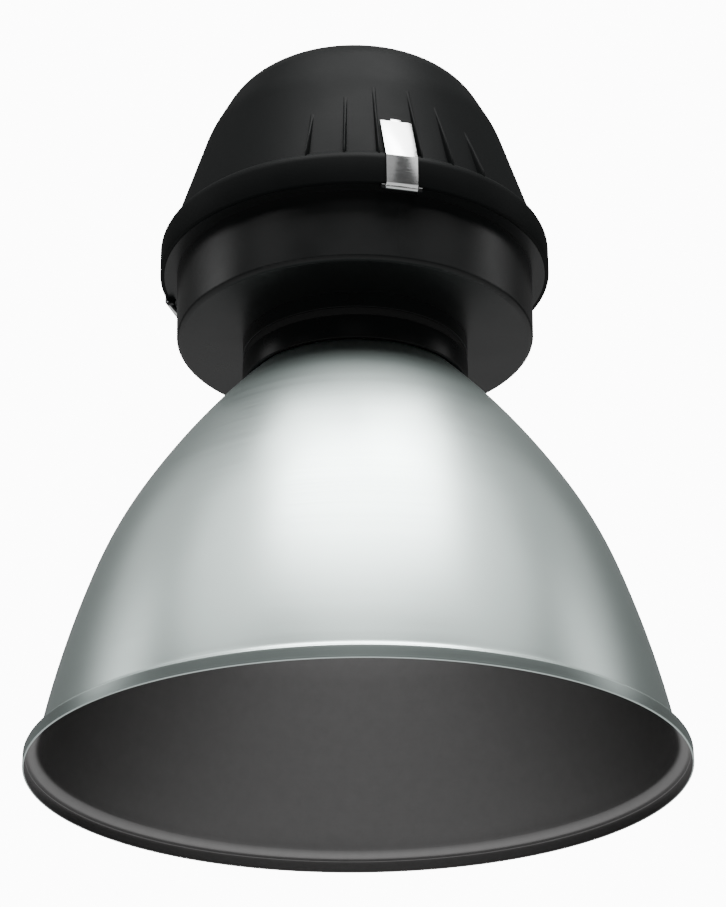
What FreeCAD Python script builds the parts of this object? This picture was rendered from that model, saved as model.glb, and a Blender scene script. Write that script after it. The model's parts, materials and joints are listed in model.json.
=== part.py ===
import FreeCAD, Part
import math
import os
import re

import Sketcher
from FreeCAD import Placement, Rotation, Vector

# High bay light: a spun reflector hangs on a short neck under a round two-part
# gear housing, closed by three hinged spring clips and hung from an eye on top.
# Millimetres and degrees. The origin is the centre of the reflector's mouth and
# +Z runs up the axis. Every piece is drawn with the first clip on +X and is then
# turned so that this clip faces -Y. A size written as a formula follows from others.

SIZES = {
    # whole light
    "front_turn": (-90, "turn that brings the first clip from +X to -Y"),
    "third_turn": (120, "angle from one clip, boss or tie screw to the next"),
    "run_gap": (0.3, "gap between pieces that move past each other"),
    "slip_gap": (0.1, "gap round a screw or an inserted piece"),
    # reflector, one spun sheet
    "sheet": (1.5, "thickness of the reflector"),
    "rim_r": (245, "outer radius of the rim's skirt"),
    "rim_drop": (10.5, "height of the skirt"),
    "rim_round": (2, "radius of the skirt's upper edge"),
    "rim_root": (3.5, "radius between the rim's ledge and the wall"),
    "mouth_r": (235.9, "outer radius of the wall where the ledge meets it"),
    "bell_low_z": (145.5, "height where the bell's first curve ends"),
    "bell_mid_z": (209, "height where the bell's second curve ends"),
    "bell_low_r": (814, "radius of the bell's first curve"),
    "bell_mid_r": (356, "radius of the bell's second curve"),
    "bell_top_r": (615, "radius of the bell's third curve"),
    "bell_z": (321, "height of the reflector's flat top"),
    "bell_inset": (7.9, "how far the reflector's top edge lies inside the neck"),
    "bell_round": (3, "radius of the reflector's top edge"),
    # neck
    "neck_r": (88.2, "outer radius of the neck"),
    "neck_wall": (3, "wall of the neck rings"),
    "neck_land": (28.2, "width of the neck's flanges"),
    "neck_bore_r": ("=neck_r - neck_land", "radius of the hole through the neck"),
    "collar_drop": (4, "how far the collar's skirt hangs below the reflector's top"),
    "collar_flange": (3.5, "thickness of the collar's flange"),
    "collar_z": (336.4, "height of the collar's upper edge"),
    "neck_edge": (0.6, "bevel on the neck rings' edges"),
    "neck_seal_h": (6.6, "height of the neck gasket"),
    "neck_seal_in": (0.5, "how far the neck gasket lies behind the rings"),
    # gear bowl, a casting
    "bowl_z": (355.2, "height of the bowl's underside"),
    "bowl_floor_r": (140.1, "radius of the bowl at its underside"),
    "bowl_r": (140.9, "radius of the bowl under its flange"),
    "bowl_round": (4, "radius of the bowl's lower edge"),
    "bowl_wall": (3, "wall of the bowl"),
    "bowl_hole_r": (50, "radius of the hole in the bowl's floor"),
    "flange_h": (3, "thickness of the bowl's flange"),
    # dome cover, a casting
    "dome_wall": (3, "wall of the dome"),
    "ring_r": (154.35, "outer radius of the ring band"),
    "ring_z": (412.8, "height of the ring band's lower edge"),
    "ring_h": (20.9, "height of the ring band's upright face"),
    "ring_round": (10, "radius of the ring band's shoulder"),
    "crease_in": (7.55, "how far the crease above the shoulder lies inside the band"),
    "crease_up": (9.7, "height from the band's upright face to the crease"),
    "crease_r": ("=ring_r - crease_in", "radius where the shoulder meets the dome's wall"),
    "crease_z": ("=ring_z + ring_h + crease_up", "height of that crease"),
    "break_in": (28.1, "how far the wall leans in between the crease and the break"),
    "break_up": (88.5, "height of the break above the crease"),
    "break_r": ("=crease_r - break_in", "radius where the wall begins to lean in more"),
    "break_z": ("=crease_z + break_up", "height of that break"),
    "break_round": (110, "radius of the curve at the break"),
    "crown_in": (28.7, "how far the upper wall leans in up to the flat top"),
    "crown_up": (55.1, "height of the flat top above the break"),
    "crown_r": ("=break_r - crown_in", "radius where the upper wall would meet the flat top"),
    "crown_z": ("=break_z + crown_up", "height of the flat top"),
    "crown_round": (54, "radius of the crown"),
    "seat_w": (8, "width of the dome's seat on the gasket"),
    "seat_h": (5, "thickness of that seat"),
    "seal_h": (3.2, "thickness of the housing gasket"),
    "seal_in": (1.5, "how far the housing gasket stays clear of the seat's edges"),
    # ribs on the dome, either side of the first clip
    "rib_t": (2.8, "thickness of a rib"),
    "rib_proud": (6, "how far a rib stands out at its foot"),
    "rib_root": (1.5, "how deep a rib is set in the wall"),
    "rib_a_turn": (6.25, "angle of the inner ribs from the clip"),
    "rib_b_turn": (16.2, "angle of the middle ribs from the clip"),
    "rib_c_turn": (27.2, "angle of the outer ribs from the clip"),
    "rib_a_h": (72.3, "height of the inner ribs above the crease"),
    "rib_b_h": (60.8, "height of the middle ribs above the crease"),
    "rib_c_h": (44.2, "height of the outer ribs above the crease"),
    # clips
    "clip_w": (24.4, "width of a clip"),
    "clip_t": (1.1, "thickness of the clip's sheet"),
    "clip_up": (24, "height from the ring band's lower edge to the clip's bend"),
    "clip_arm": (44.4, "length of the arm above the bend"),
    "clip_lean": (23.5, "lean of the arm"),
    "tab_w": (8, "width of the tab on the arm's end"),
    "tab_h": (2.6, "length of that tab"),
    "roll_in": (1.95, "how far the hinge pin lies inside the ring band"),
    "pin_r": (0.8, "radius of the hinge pin"),
    "pin_play": (0.05, "running gap round the hinge pin"),
    "lug_w": (3, "thickness of a hinge lug"),
    "lug_gap": (0.4, "gap between a lug and the clip"),
    "lug_reach": (6.4, "how far a lug's root runs in from the pin"),
    "catch_w": (18, "width of the catch pad under a clip's end"),
    "catch_h": (10, "height of that pad"),
    "catch_t": (0.7, "how far that pad stands out"),
    "catch_low": (14, "how far below the arm's end that pad begins"),
    # lampholder and its bracket
    "holder_r": (31, "outer radius of the lampholder"),
    "holder_top_r": (24, "radius of the lampholder's top"),
    "holder_h": (73, "height of the lampholder"),
    "holder_slope_h": (9, "height of the lampholder's sloping shoulder"),
    "holder_roof": (17, "thickness above the lampholder's cavity"),
    "holder_bore_r": (21, "radius of the lampholder's cavity"),
    "holder_lip": (3, "bevel at the lampholder's mouth"),
    "shell_t": (0.8, "thickness of the brass shell"),
    "shell_short": (6, "how far the shell stays inside the mouth"),
    "shell_hole_r": (12, "radius of the hole in the shell's end"),
    "contact_r": (6, "radius of the spring contact"),
    "contact_h": (3.5, "height of the spring contact"),
    "bracket_w": (30, "width of the lampholder bracket"),
    "bracket_t": (2, "thickness of that bracket"),
    "bracket_rise": (12.8, "height of the bracket above the bowl's floor"),
    "bracket_foot": (24, "length of a bracket's foot"),
    "holder_screw_x": (14, "distance of a lampholder screw from the axis"),
    # lamp
    "cap_r": (19.6, "radius of the lamp's cap"),
    "cap_h": (45.5, "height of the lamp's cap"),
    "cap_tip_r": (5.5, "radius of the cap's tip"),
    "cap_tip_h": (3, "height of the cap's tip"),
    "cap_cone_h": (7.5, "height of the cap's cone"),
    "lamp_h": (226, "overall length of the lamp"),
    "bulb_r": (45, "largest radius of the bulb"),
    "bulb_neck_r": (17.5, "radius of the bulb's neck"),
    "bulb_neck_h": (16, "length of the bulb's neck"),
    "bulb_wide_h": (96, "height from the bulb's neck to its widest place"),
    "bulb_flare_r": (60, "radius of the curve below the neck"),
    # gear tray and what stands on it
    "tray_r": (132, "radius of the gear tray"),
    "tray_t": (2, "thickness of the gear tray"),
    "tray_lip": (12, "height of the tray with its lip"),
    "boss_h": (17.8, "height of the bosses under the tray"),
    "boss_r": (6, "radius of a boss"),
    "boss_place": (118, "distance of a boss from the axis"),
    "wire_hole_r": (10, "radius of the wire hole in the tray"),
    "wire_hole_x": (22, "distance of the wire hole from the axis"),
    "ballast_x": (-36, "place of the ballast along X"),
    "ballast_l": (92, "length of the ballast's core"),
    "ballast_w": (66, "width of the ballast's core"),
    "ballast_h": (56, "height of the ballast's core"),
    "window_w": (44, "width of the core's window"),
    "window_h": (34, "height of the core's window"),
    "coil_out": (14, "how far the coil stands out of the core"),
    "coil_grow": (6, "how far the coil's ends reach past the window"),
    "base_l": (140, "length of the ballast's base"),
    "base_t": (2, "thickness of the ballast's base"),
    "base_screw_x": (22, "distance of a base screw from the ballast's middle"),
    "base_screw_y": (64, "distance of a base screw along the ballast"),
    "can_x": (48, "place of the capacitor along X"),
    "can_y": (-62, "place of the capacitor along Y"),
    "can_r": (22.5, "radius of the capacitor"),
    "can_h": (92, "height of the capacitor"),
    "can_lip": (2, "width and height of the capacitor's rolled edge"),
    "lead_w": (6.3, "width of the capacitor's terminals"),
    "lead_t": (0.8, "thickness of the capacitor's terminals"),
    "lead_h": (8, "height of the capacitor's terminals"),
    "lead_x": (7, "distance of a terminal from the capacitor's middle"),
    "stud_r": (4, "radius of the mounting studs"),
    "stud_h": (12, "length of the mounting studs"),
    "stud_nut_r": (7.5, "corner radius of the stud nuts"),
    "stud_nut_h": (6.5, "height of the stud nuts"),
    "igniter_x": (50, "place of the ignitor along X"),
    "igniter_y": (58, "place of the ignitor along Y"),
    "igniter_l": (38, "length of the ignitor along X"),
    "igniter_w": (42, "width of the ignitor along Y"),
    "igniter_h": (70, "height of the ignitor"),
    "igniter_round": (5, "radius of the ignitor's edges"),
    "block_x": (88, "place of the terminal block along X"),
    "block_l": (60, "length of the terminal block"),
    "block_w": (24, "width of the terminal block"),
    "block_low": (11, "height of the terminal block's steps"),
    "block_h": (20, "height of the terminal block"),
    "block_top_w": (12, "width of the terminal block's ridge"),
    "way_pitch": (12, "distance between the terminal block's ways"),
    "way_count": (4, "number of ways"),
    "way_r": (2.6, "radius of a way's screw hole"),
    "way_deep": (8, "depth of a way's screw hole"),
    "way_screw_h": (5, "height of a way's screw"),
    "earth_x": (70, "place of the earth stud along X"),
    "earth_y": (96, "place of the earth stud along Y"),
    # screws and nuts
    "tie_in": (18.2, "how far a tie screw lies inside the neck's outer radius"),
    "tie_place": ("=neck_r - tie_in", "distance of the tie screws from the axis"),
    "tie_r": (2.5, "radius of the tie, tray and bracket screws"),
    "tie_head_r": (4.5, "radius of their heads"),
    "tie_head_h": (3.2, "height of their heads"),
    "tie_over": (6, "how far a tie screw stands above the bowl's floor"),
    "tie_nut_r": (4.6, "corner radius of the tie nuts"),
    "tie_nut_h": (4, "height of the tie nuts"),
    "small_r": (2, "radius of the small screws"),
    "small_head_r": (3.6, "radius of their heads"),
    "small_head_h": (2.2, "height of their heads"),
    "screw_deep": (10, "length of a screw below what it holds"),
    "tap_deep": (12, "depth of a tapped hole"),
    # suspension eye
    "eye_r": (17.5, "outer radius of the eye"),
    "eye_bore_r": (9.5, "radius of the eye's hole"),
    "eye_t": (10, "thickness of the eye"),
    "eye_rise": (19, "height of the eye's centre above its collar"),
    "eye_edge": (2, "bevel round the eye"),
    "eye_neck_r": (7, "radius of the neck under the eye"),
    "shank_r": (6, "radius of the eye's shank"),
    "shank_h": (17, "length of the shank below the dome's top"),
    "eye_collar_r": (16, "radius of the eye's collar"),
    "eye_collar_h": (4, "height of the eye's collar"),
    "eye_washer_h": (2.5, "thickness of the sealing washer"),
    "eye_nut_r": (10.4, "corner radius of the eye's nut"),
    "eye_nut_h": (10, "height of the eye's nut"),
    # cable gland
    "gland_x": (-36, "place of the cable gland along X"),
    "gland_hex_r": (13.8, "corner radius of the gland's hexagons"),
    "gland_hex_h": (7, "height of the gland body's hexagon"),
    "gland_spigot_r": (9.8, "radius of the gland's spigot"),
    "gland_spigot_h": (11, "length of the gland's spigot"),
    "gland_tube_r": (11, "radius of the gland's upper tube"),
    "gland_tube_h": (8, "height of the gland's upper tube"),
    "gland_bore_r": (6.5, "radius of the way through the gland body"),
    "gland_seat_r": (8.2, "radius of the seal's seat"),
    "gland_seat_h": (6, "depth of the seal's seat"),
    "cable_r": (5.25, "radius of the hole in the gland's seal"),
    "gland_nut_r": (13.2, "radius of the gland's cap nut"),
    "gland_nut_h": (13, "height of the gland's cap nut"),
    "gland_nut_edge": (2.8, "bevel on the cap nut"),
    "gland_roof": (4, "thickness of the cap nut's end"),
    "locknut_h": (5, "height of the gland's lock nut"),
}

doc = FreeCAD.newDocument("HighBayLight")
sheet = doc.addObject("Spreadsheet::Sheet", "Sizes")
for row, (name, (number, meaning)) in enumerate(SIZES.items(), start=1):
    sheet.set(f"A{row}", name)
    sheet.set(f"B{row}", str(number))
    sheet.set(f"C{row}", meaning)
    sheet.setAlias(f"B{row}", name)
doc.recompute()

pieces = []


# ---------------------------------------------------------------- helpers

def looked_up(text):
    """Expression in which every size name is looked up in the sheet."""
    return re.sub(r"\b[a-z]\w*\b(?!\()", r"Sizes.\g<0>", text)


def number(text):
    return float(sheet.evalExpression(looked_up(text)))


def bind(thing, prop, text):
    thing.setExpression(prop, looked_up(text))


def new_piece(name, x="0", y="0", z="0", turn="front_turn"):
    """Body for one piece, set at x, y, z in the drawn frame and turned to the front."""
    body = doc.addObject("PartDesign::Body", name)
    body.Label = name
    body.Placement = Placement(Vector(), Rotation(Vector(0, 0, 1), number(turn)))
    bind(body, "Placement.Rotation.Angle", turn)
    bind(body, "Placement.Base.x", f"({x}) * cos({turn}) - ({y}) * sin({turn})")
    bind(body, "Placement.Base.y", f"({x}) * sin({turn}) + ({y}) * cos({turn})")
    bind(body, "Placement.Base.z", z)
    pieces.append(body)
    return body


def arc_between(start, end, radius):
    """Short arc; its centre is left of the way from start to end when radius > 0."""
    chord = end - start
    off = math.copysign(math.sqrt(radius ** 2 - chord.Length ** 2 / 4), radius)
    left = Vector(-chord.y, chord.x, 0).normalize()
    centre = (start + end) / 2 + left * off
    first, last = (start, end) if radius > 0 else (end, start)
    angles = [math.atan2(p.y - centre.y, p.x - centre.x) for p in (first, last)]
    if angles[1] < angles[0]:
        angles[1] += 2 * math.pi
    circle = Part.Circle(centre, Vector(0, 0, 1), abs(radius))
    return Part.ArcOfCircle(circle, *angles)


def draw(body, plane, outline=(), circles=(), up="0", turn="0"):
    """Sketch on one of the body's planes, with every size bound to the sheet.

    A corner is (x, y), or (x, y, radius) where an arc leads to it. A corner whose x
    is a plain number is only a first guess: there the two curves meet smoothly.
    """
    sketch = body.newObject("Sketcher::SketchObject", f"{body.Name}_sketch")
    planes = {item.Role: item for item in body.Origin.OriginFeatures}
    sketch.AttachmentSupport = [(planes[f"{plane}_Plane"], "")]
    sketch.MapMode = "FlatFace"
    if turn != "0":
        sketch.AttachmentOffset = Placement(Vector(), Rotation(Vector(0, 1, 0), number(turn)))
        bind(sketch, "AttachmentOffset.Rotation.Angle", turn)
    bind(sketch, "AttachmentOffset.Base.z", up)
    edges, limits, bound = [], [], []
    spots = [Vector(c[0] if isinstance(c[0], float) else number(c[0]), number(c[1]), 0)
             for c in outline]
    count = len(outline)
    ends = []
    for index in range(count):
        after = (index + 1) % count
        if len(outline[after]) == 3:
            radius = number(outline[after][2])
            edges.append(arc_between(spots[index], spots[after], radius))
            ends.append((1, 2) if radius > 0 else (2, 1))
        else:
            edges.append(Part.LineSegment(spots[index], spots[after]))
            ends.append((1, 2))
    for index, corner in enumerate(outline):
        before = (index - 1) % count
        smooth = isinstance(corner[0], float)
        kind = "Tangent" if smooth else "Coincident"
        limits.append(Sketcher.Constraint(kind, before, ends[before][1], index, ends[index][0]))
        for kind, text, at in (("DistanceX", corner[0], spots[index].x),
                               ("DistanceY", corner[1], spots[index].y)):
            if not isinstance(text, float):
                bound.append((len(limits), text))
                limits.append(Sketcher.Constraint(kind, -1, 1, index, ends[index][0], at))
        if len(corner) == 3:
            bound.append((len(limits), f"abs({corner[2]})"))
            limits.append(Sketcher.Constraint("Radius", before, abs(number(corner[2]))))
    for x, y, radius in circles:
        index = len(edges)
        centre = Vector(number(x), number(y), 0)
        edges.append(Part.Circle(centre, Vector(0, 0, 1), number(radius)))
        for kind, text, at in (("DistanceX", x, centre.x), ("DistanceY", y, centre.y)):
            bound.append((len(limits), text))
            limits.append(Sketcher.Constraint(kind, -1, 1, index, 3, at))
        bound.append((len(limits), radius))
        limits.append(Sketcher.Constraint("Radius", index, number(radius)))
    sketch.addGeometry(edges)
    sketch.addConstraint(limits)
    for index, text in bound:
        if re.search("[a-z]", text):
            bind(sketch, f"Constraints[{index}]", text)
    return sketch


def feature(body, kind, sketch, **sizes):
    """PartDesign feature on a sketch; it has to add or take away something."""
    before = body.Shape.Volume if body.Tip else 0
    made = body.newObject(f"PartDesign::{kind}", f"{body.Name}_{kind.lower()}")
    made.Profile = sketch
    if kind in ("Revolution", "Groove"):
        made.ReferenceAxis = (sketch, ["V_Axis"])
        made.Angle = 360
    if "length" in sizes:
        bind(made, "Length", sizes["length"])
    if sizes.get("both_ways"):
        made.SideType = "Symmetric"
    if sizes.get("through"):
        made.Type = "ThroughAll"
    made.Reversed = sizes.get("back", False)
    doc.recompute()
    if abs(body.Shape.Volume - before) < 1e-6:
        raise RuntimeError(f"{made.Name} changes nothing")
    return made


def turned(body, outline):
    return feature(body, "Revolution", draw(body, "XZ", outline))


def repeat(body, features, count="3", step="third_turn"):
    """The same features again, round the axis."""
    pattern = body.newObject("PartDesign::PolarPattern", f"{body.Name}_pattern")
    pattern.Originals = features
    planes = {item.Role: item for item in body.Origin.OriginFeatures}
    pattern.Axis = (planes["Z_Axis"], [""])
    pattern.Mode = "Spacing"
    bind(pattern, "Offset", step)
    bind(pattern, "Occurrences", count)
    body.Tip = pattern
    doc.recompute()
    return pattern


def mirrored(body, features, plane="XZ"):
    mirror = body.newObject("PartDesign::Mirrored", f"{body.Name}_mirror")
    mirror.Originals = features
    planes = {item.Role: item for item in body.Origin.OriginFeatures}
    mirror.MirrorPlane = (planes[f"{plane}_Plane"], [""])
    body.Tip = mirror
    doc.recompute()
    return mirror


def ring_edges(shape, radius, height):
    """Names of the circular edges about the axis with this radius and height."""
    names = []
    for index, edge in enumerate(shape.Edges, start=1):
        curve = edge.Curve
        if isinstance(curve, Part.Circle) and abs(curve.Radius - radius) < 0.01 \
                and abs(curve.Center.z - height) < 0.01:
            names.append(f"Edge{index}")
    return names


def dress(body, kind, names, size):
    """Fillet or chamfer on the named edges."""
    base = body.Tip
    made = body.newObject(f"PartDesign::{kind}", f"{body.Name}_{kind.lower()}")
    made.Base = (base, names)
    bind(made, "Radius" if kind == "Fillet" else "Size", size)
    doc.recompute()
    return made


def round_ring(body, radius, height, size, kind="Fillet"):
    names = ring_edges(body.Tip.Shape, number(radius), number(height))
    return dress(body, kind, names, size)


def hollow(body, wall, open_height):
    """Leave only the wall, open at the flat face of this height."""
    base = body.Tip
    names = [f"Face{index}" for index, face in enumerate(base.Shape.Faces, start=1)
             if isinstance(face.Surface, Part.Plane)
             and abs(face.CenterOfMass.z - number(open_height)) < 0.01]
    made = body.newObject("PartDesign::Thickness", f"{body.Name}_shell")
    made.Base = (base, names)
    bind(made, "Value", wall)
    made.Reversed = True
    doc.recompute()
    return made


def hexagon(radius):
    return [(f"({radius}) * cos({60 * side})", f"({radius}) * sin({60 * side})")
            for side in range(6)]


def oblong(x, y, length, width):
    return [(f"({x}) + {sx} * ({length}) / 2", f"({y}) + {sy} * ({width}) / 2")
            for sx, sy in ((-1, -1), (1, -1), (1, 1), (-1, 1))]


def upright_edges(body):
    return [f"Edge{index}" for index, edge in enumerate(body.Tip.Shape.Edges, start=1)
            if isinstance(edge.Curve, Part.Line) and abs(edge.tangentAt(edge.FirstParameter).z) > 0.99]


# ---------------------------------------------------------------- reflector and neck

TIE_HOLE = [("-tie_place", "0", "tie_r + slip_gap")]


# First guess at the bell's form, as a power of the height, for the sketch's solver.
BELL_POWER = 1.6


def reflector():
    """Spun bell with a turned-down lip and a flat top that the tie screws clamp."""
    body = new_piece("reflector")
    top_r = "neck_r - bell_inset"
    rise = number("bell_z - rim_drop")
    fall = number(f"mouth_r - ({top_r})")
    low, mid = (number("mouth_r") - fall * (number(f"{z} - rim_drop") / rise) ** BELL_POWER
                for z in ("bell_low_z", "bell_mid_z"))
    turned(body, [
        ("0", "0"), ("rim_r", "0"), ("rim_r", "rim_drop"), ("mouth_r", "rim_drop"),
        (low, "bell_low_z", "bell_low_r"), (mid, "bell_mid_z", "bell_mid_r"),
        (top_r, "bell_z", "bell_top_r"), ("0", "bell_z")])
    round_ring(body, "rim_r", "rim_drop", "rim_round")
    round_ring(body, "mouth_r", "rim_drop", "rim_root")
    round_ring(body, top_r, "bell_z", "bell_round")
    hollow(body, "sheet", "0")
    hole = draw(body, "XY", circles=[("0", "0", "neck_bore_r")])
    feature(body, "Pocket", hole, through=True, back=True)
    tie = feature(body, "Pocket", draw(body, "XY", circles=TIE_HOLE), through=True, back=True)
    repeat(body, [tie])


def reflector_collar():
    """Lower neck ring: its flange sits on the reflector's flat top."""
    body = new_piece("reflector_collar")
    inner = "neck_r - neck_wall"
    turned(body, [
        ("neck_bore_r", "bell_z"), (inner, "bell_z"), (inner, "bell_z - collar_drop"),
        ("neck_r", "bell_z - collar_drop"), ("neck_r", "collar_z"), (inner, "collar_z"),
        (inner, "bell_z + collar_flange"), ("neck_bore_r", "bell_z + collar_flange")])
    round_ring(body, "neck_r", "collar_z", "neck_edge", "Chamfer")
    tie = feature(body, "Pocket", draw(body, "XY", circles=TIE_HOLE), through=True, back=True)
    repeat(body, [tie])


def neck_gasket():
    body = new_piece("neck_gasket")
    outer = "neck_r - neck_seal_in"
    inner = "neck_r - neck_wall"
    turned(body, [(inner, "collar_z"), (outer, "collar_z"),
                  (outer, "collar_z + neck_seal_h"), (inner, "collar_z + neck_seal_h")])


def neck_spacer():
    """Upper neck ring between the gasket and the bowl's underside."""
    body = new_piece("neck_spacer")
    inner = "neck_r - neck_wall"
    low = "collar_z + neck_seal_h"
    turned(body, [
        ("neck_bore_r", "bowl_z - neck_wall"), (inner, "bowl_z - neck_wall"), (inner, low),
        ("neck_r", low), ("neck_r", "bowl_z"), ("neck_bore_r", "bowl_z")])
    round_ring(body, "neck_r", low, "neck_edge", "Chamfer")
    tie = feature(body, "Pocket", draw(body, "XY", circles=TIE_HOLE), through=True, back=True)
    repeat(body, [tie])


# ---------------------------------------------------------------- housing

FLANGE_R = "ring_r - dome_wall - run_gap"
FLANGE_TOP = "ring_z + flange_h"
FLOOR_TOP = "bowl_z + bowl_wall"
SEAT_Z = f"{FLANGE_TOP} + seal_h"
ROLL_R = "pin_r + pin_play + clip_t"
PIN_X = "ring_r - roll_in"
PIN_Z = f"ring_z - run_gap - ({ROLL_R})"


def gear_bowl():
    """Lower half of the housing with its flange, tray bosses and hinge lugs."""
    body = new_piece("gear_bowl")
    turned(body, [("0", "bowl_z"), ("bowl_floor_r", "bowl_z"),
                  ("bowl_r", FLANGE_TOP), ("0", FLANGE_TOP)])
    round_ring(body, "bowl_floor_r", "bowl_z", "bowl_round")
    hollow(body, "bowl_wall", FLANGE_TOP)
    turned(body, [("bowl_r - bowl_wall / 2", "ring_z"), (FLANGE_R, "ring_z"),
                  (FLANGE_R, FLANGE_TOP), ("bowl_r - bowl_wall / 2", FLANGE_TOP)])
    hole = draw(body, "XY", circles=[("0", "0", "bowl_hole_r")])
    feature(body, "Pocket", hole, through=True, back=True)
    tie = feature(body, "Pocket", draw(body, "XY", circles=TIE_HOLE), through=True, back=True)
    repeat(body, [tie])
    feet = [("0", f"{side} * (bowl_hole_r + bracket_foot / 2)", "tie_r + slip_gap")
            for side in (-1, 1)]
    feature(body, "Pocket", draw(body, "XY", circles=feet), through=True, back=True)
    boss = draw(body, "XY", circles=[("-boss_place", "0", "boss_r")], up="bowl_z + bowl_wall / 2")
    boss = feature(body, "Pad", boss, length="boss_h + bowl_wall / 2")
    tapped = draw(body, "XY", circles=[("-boss_place", "0", "tie_r + slip_gap")],
                  up=f"{FLOOR_TOP} + boss_h - tap_deep")
    tapped = feature(body, "Pocket", tapped, length="tap_deep", back=True)
    repeat(body, [boss, tapped])
    root = f"{PIN_X} - lug_reach"
    lug = draw(body, "XZ", [
        (root, "ring_z"), (f"{root} + ({ROLL_R})", f"{PIN_Z} - ({ROLL_R})"),
        (PIN_X, f"{PIN_Z} - ({ROLL_R})"),
        (f"{PIN_X} + ({ROLL_R})", PIN_Z, ROLL_R), (PIN_X, f"{PIN_Z} + ({ROLL_R})", ROLL_R),
        (FLANGE_R, f"{PIN_Z} + ({ROLL_R})"), (FLANGE_R, "ring_z")])
    lug = feature(body, "Pad", lug, length="clip_w + 2 * (lug_gap + lug_w)", both_ways=True)
    slot = draw(body, "XZ", [
        (f"{root} - lug_gap", "ring_z"), (f"{root} - lug_gap", f"{PIN_Z} - 2 * ({ROLL_R})"),
        (f"{PIN_X} + 2 * ({ROLL_R})", f"{PIN_Z} - 2 * ({ROLL_R})"),
        (f"{PIN_X} + 2 * ({ROLL_R})", "ring_z")])
    slot = feature(body, "Pocket", slot, length="clip_w + 2 * lug_gap", both_ways=True)
    eye = draw(body, "XZ", circles=[(PIN_X, PIN_Z, "pin_r")])
    eye = feature(body, "Pocket", eye, length="clip_w + 2 * (lug_gap + lug_w)", both_ways=True)
    repeat(body, [lug, slot, eye])


def housing_gasket():
    body = new_piece("housing_gasket")
    outer = "ring_r - dome_wall - seal_in"
    inner = "ring_r - dome_wall - seat_w + seal_in"
    turned(body, [(inner, FLANGE_TOP), (outer, FLANGE_TOP), (outer, SEAT_Z), (inner, SEAT_Z)])


def wall_r(height):
    """Radius of the dome's lower wall at a height above the crease."""
    return f"(crease_r - ({height}) * (crease_r - break_r) / (break_z - crease_z))"


def rib(body, turn, height):
    top = f"crease_z + {height}"
    sketch = draw(body, "XZ", [
        (wall_r(height), top), ("crease_r + rib_proud", "crease_z"),
        ("crease_r + rib_proud", "ring_z + ring_h + 2 * rib_root"),
        ("crease_r - rib_root", "crease_z - rib_root"),
        (f"{wall_r(height)} - rib_root", top)], turn=turn)
    return feature(body, "Pad", sketch, length="rib_t", both_ways=True)


def dome_cover():
    """Upper half of the housing: ring band, leaning wall, crown, ribs and catches."""
    body = new_piece("dome_cover")
    turned(body, [
        ("0", "ring_z"), ("ring_r", "ring_z"), ("ring_r", "ring_z + ring_h"),
        ("crease_r", "crease_z", "ring_round"), ("break_r", "break_z"),
        ("crown_r", "crown_z"), ("0", "crown_z")])
    round_ring(body, "break_r", "break_z", "break_round")
    round_ring(body, "crown_r", "crown_z", "crown_round")
    hollow(body, "dome_wall", "ring_z")
    turned(body, [
        ("ring_r - dome_wall - seat_w", SEAT_Z), ("ring_r - dome_wall / 2", SEAT_Z),
        ("ring_r - dome_wall / 2", f"{SEAT_Z} + seat_h"),
        ("ring_r - dome_wall - seat_w", f"{SEAT_Z} + seat_h")])
    ribs = [rib(body, f"rib_{name}_turn", f"rib_{name}_h") for name in "abc"]
    mirrored(body, ribs)
    low = f"{CLIP_END_Z} - crease_z - catch_low"
    high = f"{low} + catch_h"
    catch = draw(body, "XZ", [
        (f"{wall_r(low)} + catch_t", f"crease_z + {low}"),
        (f"{wall_r(high)} + catch_t", f"crease_z + {high}"),
        (f"{wall_r(high)} - rib_root", f"crease_z + {high}"),
        (f"{wall_r(low)} - rib_root", f"crease_z + {low}")])
    catch = feature(body, "Pad", catch, length="catch_w", both_ways=True)
    repeat(body, [catch])
    holes = draw(body, "XY", circles=[("0", "0", "shank_r + slip_gap"),
                                      ("gland_x", "0", "gland_spigot_r + slip_gap")])
    feature(body, "Pocket", holes, through=True, back=True)


# ---------------------------------------------------------------- clips

CLIP_X = "ring_r + run_gap + clip_t"
BEND_Z = "ring_z + clip_up"
CLIP_END_X = f"({CLIP_X} - clip_arm * sin(clip_lean))"
CLIP_END_Z = f"({BEND_Z} + clip_arm * cos(clip_lean))"


def along_arm(ahead, out):
    """Point ahead of the arm's outer end corner, and out from its outer face."""
    return (f"{CLIP_END_X} - ({ahead}) * sin(clip_lean) + ({out}) * cos(clip_lean)",
            f"{CLIP_END_Z} + ({ahead}) * cos(clip_lean) + ({out}) * sin(clip_lean)")


def clip(name, turn):
    """Bent strip that swings on its rolled end and leans on the dome's catch."""
    body = new_piece(name, turn=turn)
    strip = draw(body, "XZ", [
        (f"{CLIP_X} - clip_t", "ring_z - run_gap"),
        (f"{CLIP_X} - clip_t", f"{BEND_Z} - clip_t * tan(clip_lean / 2)"),
        along_arm("0", "-clip_t"), (CLIP_END_X, CLIP_END_Z),
        (CLIP_X, BEND_Z), (CLIP_X, f"{PIN_Z} + ({ROLL_R})"),
        (f"{PIN_X} + ({ROLL_R}) - clip_t / 2", PIN_Z),
        (PIN_X, f"{PIN_Z} + ({ROLL_R}) - clip_t / 2")])
    feature(body, "Pad", strip, length="clip_w", both_ways=True)
    tab = draw(body, "XZ", [
        along_arm("-clip_t", "-clip_t"), along_arm("-clip_t", "0"),
        along_arm("tab_h", "0"), along_arm("tab_h", "-clip_t")])
    feature(body, "Pad", tab, length="tab_w", both_ways=True)
    roll = draw(body, "XZ", circles=[(PIN_X, PIN_Z, ROLL_R)])
    feature(body, "Pad", roll, length="clip_w", both_ways=True)
    bore = draw(body, "XZ", circles=[(PIN_X, PIN_Z, "pin_r + pin_play")])
    feature(body, "Pocket", bore, length="clip_w", both_ways=True)


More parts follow.
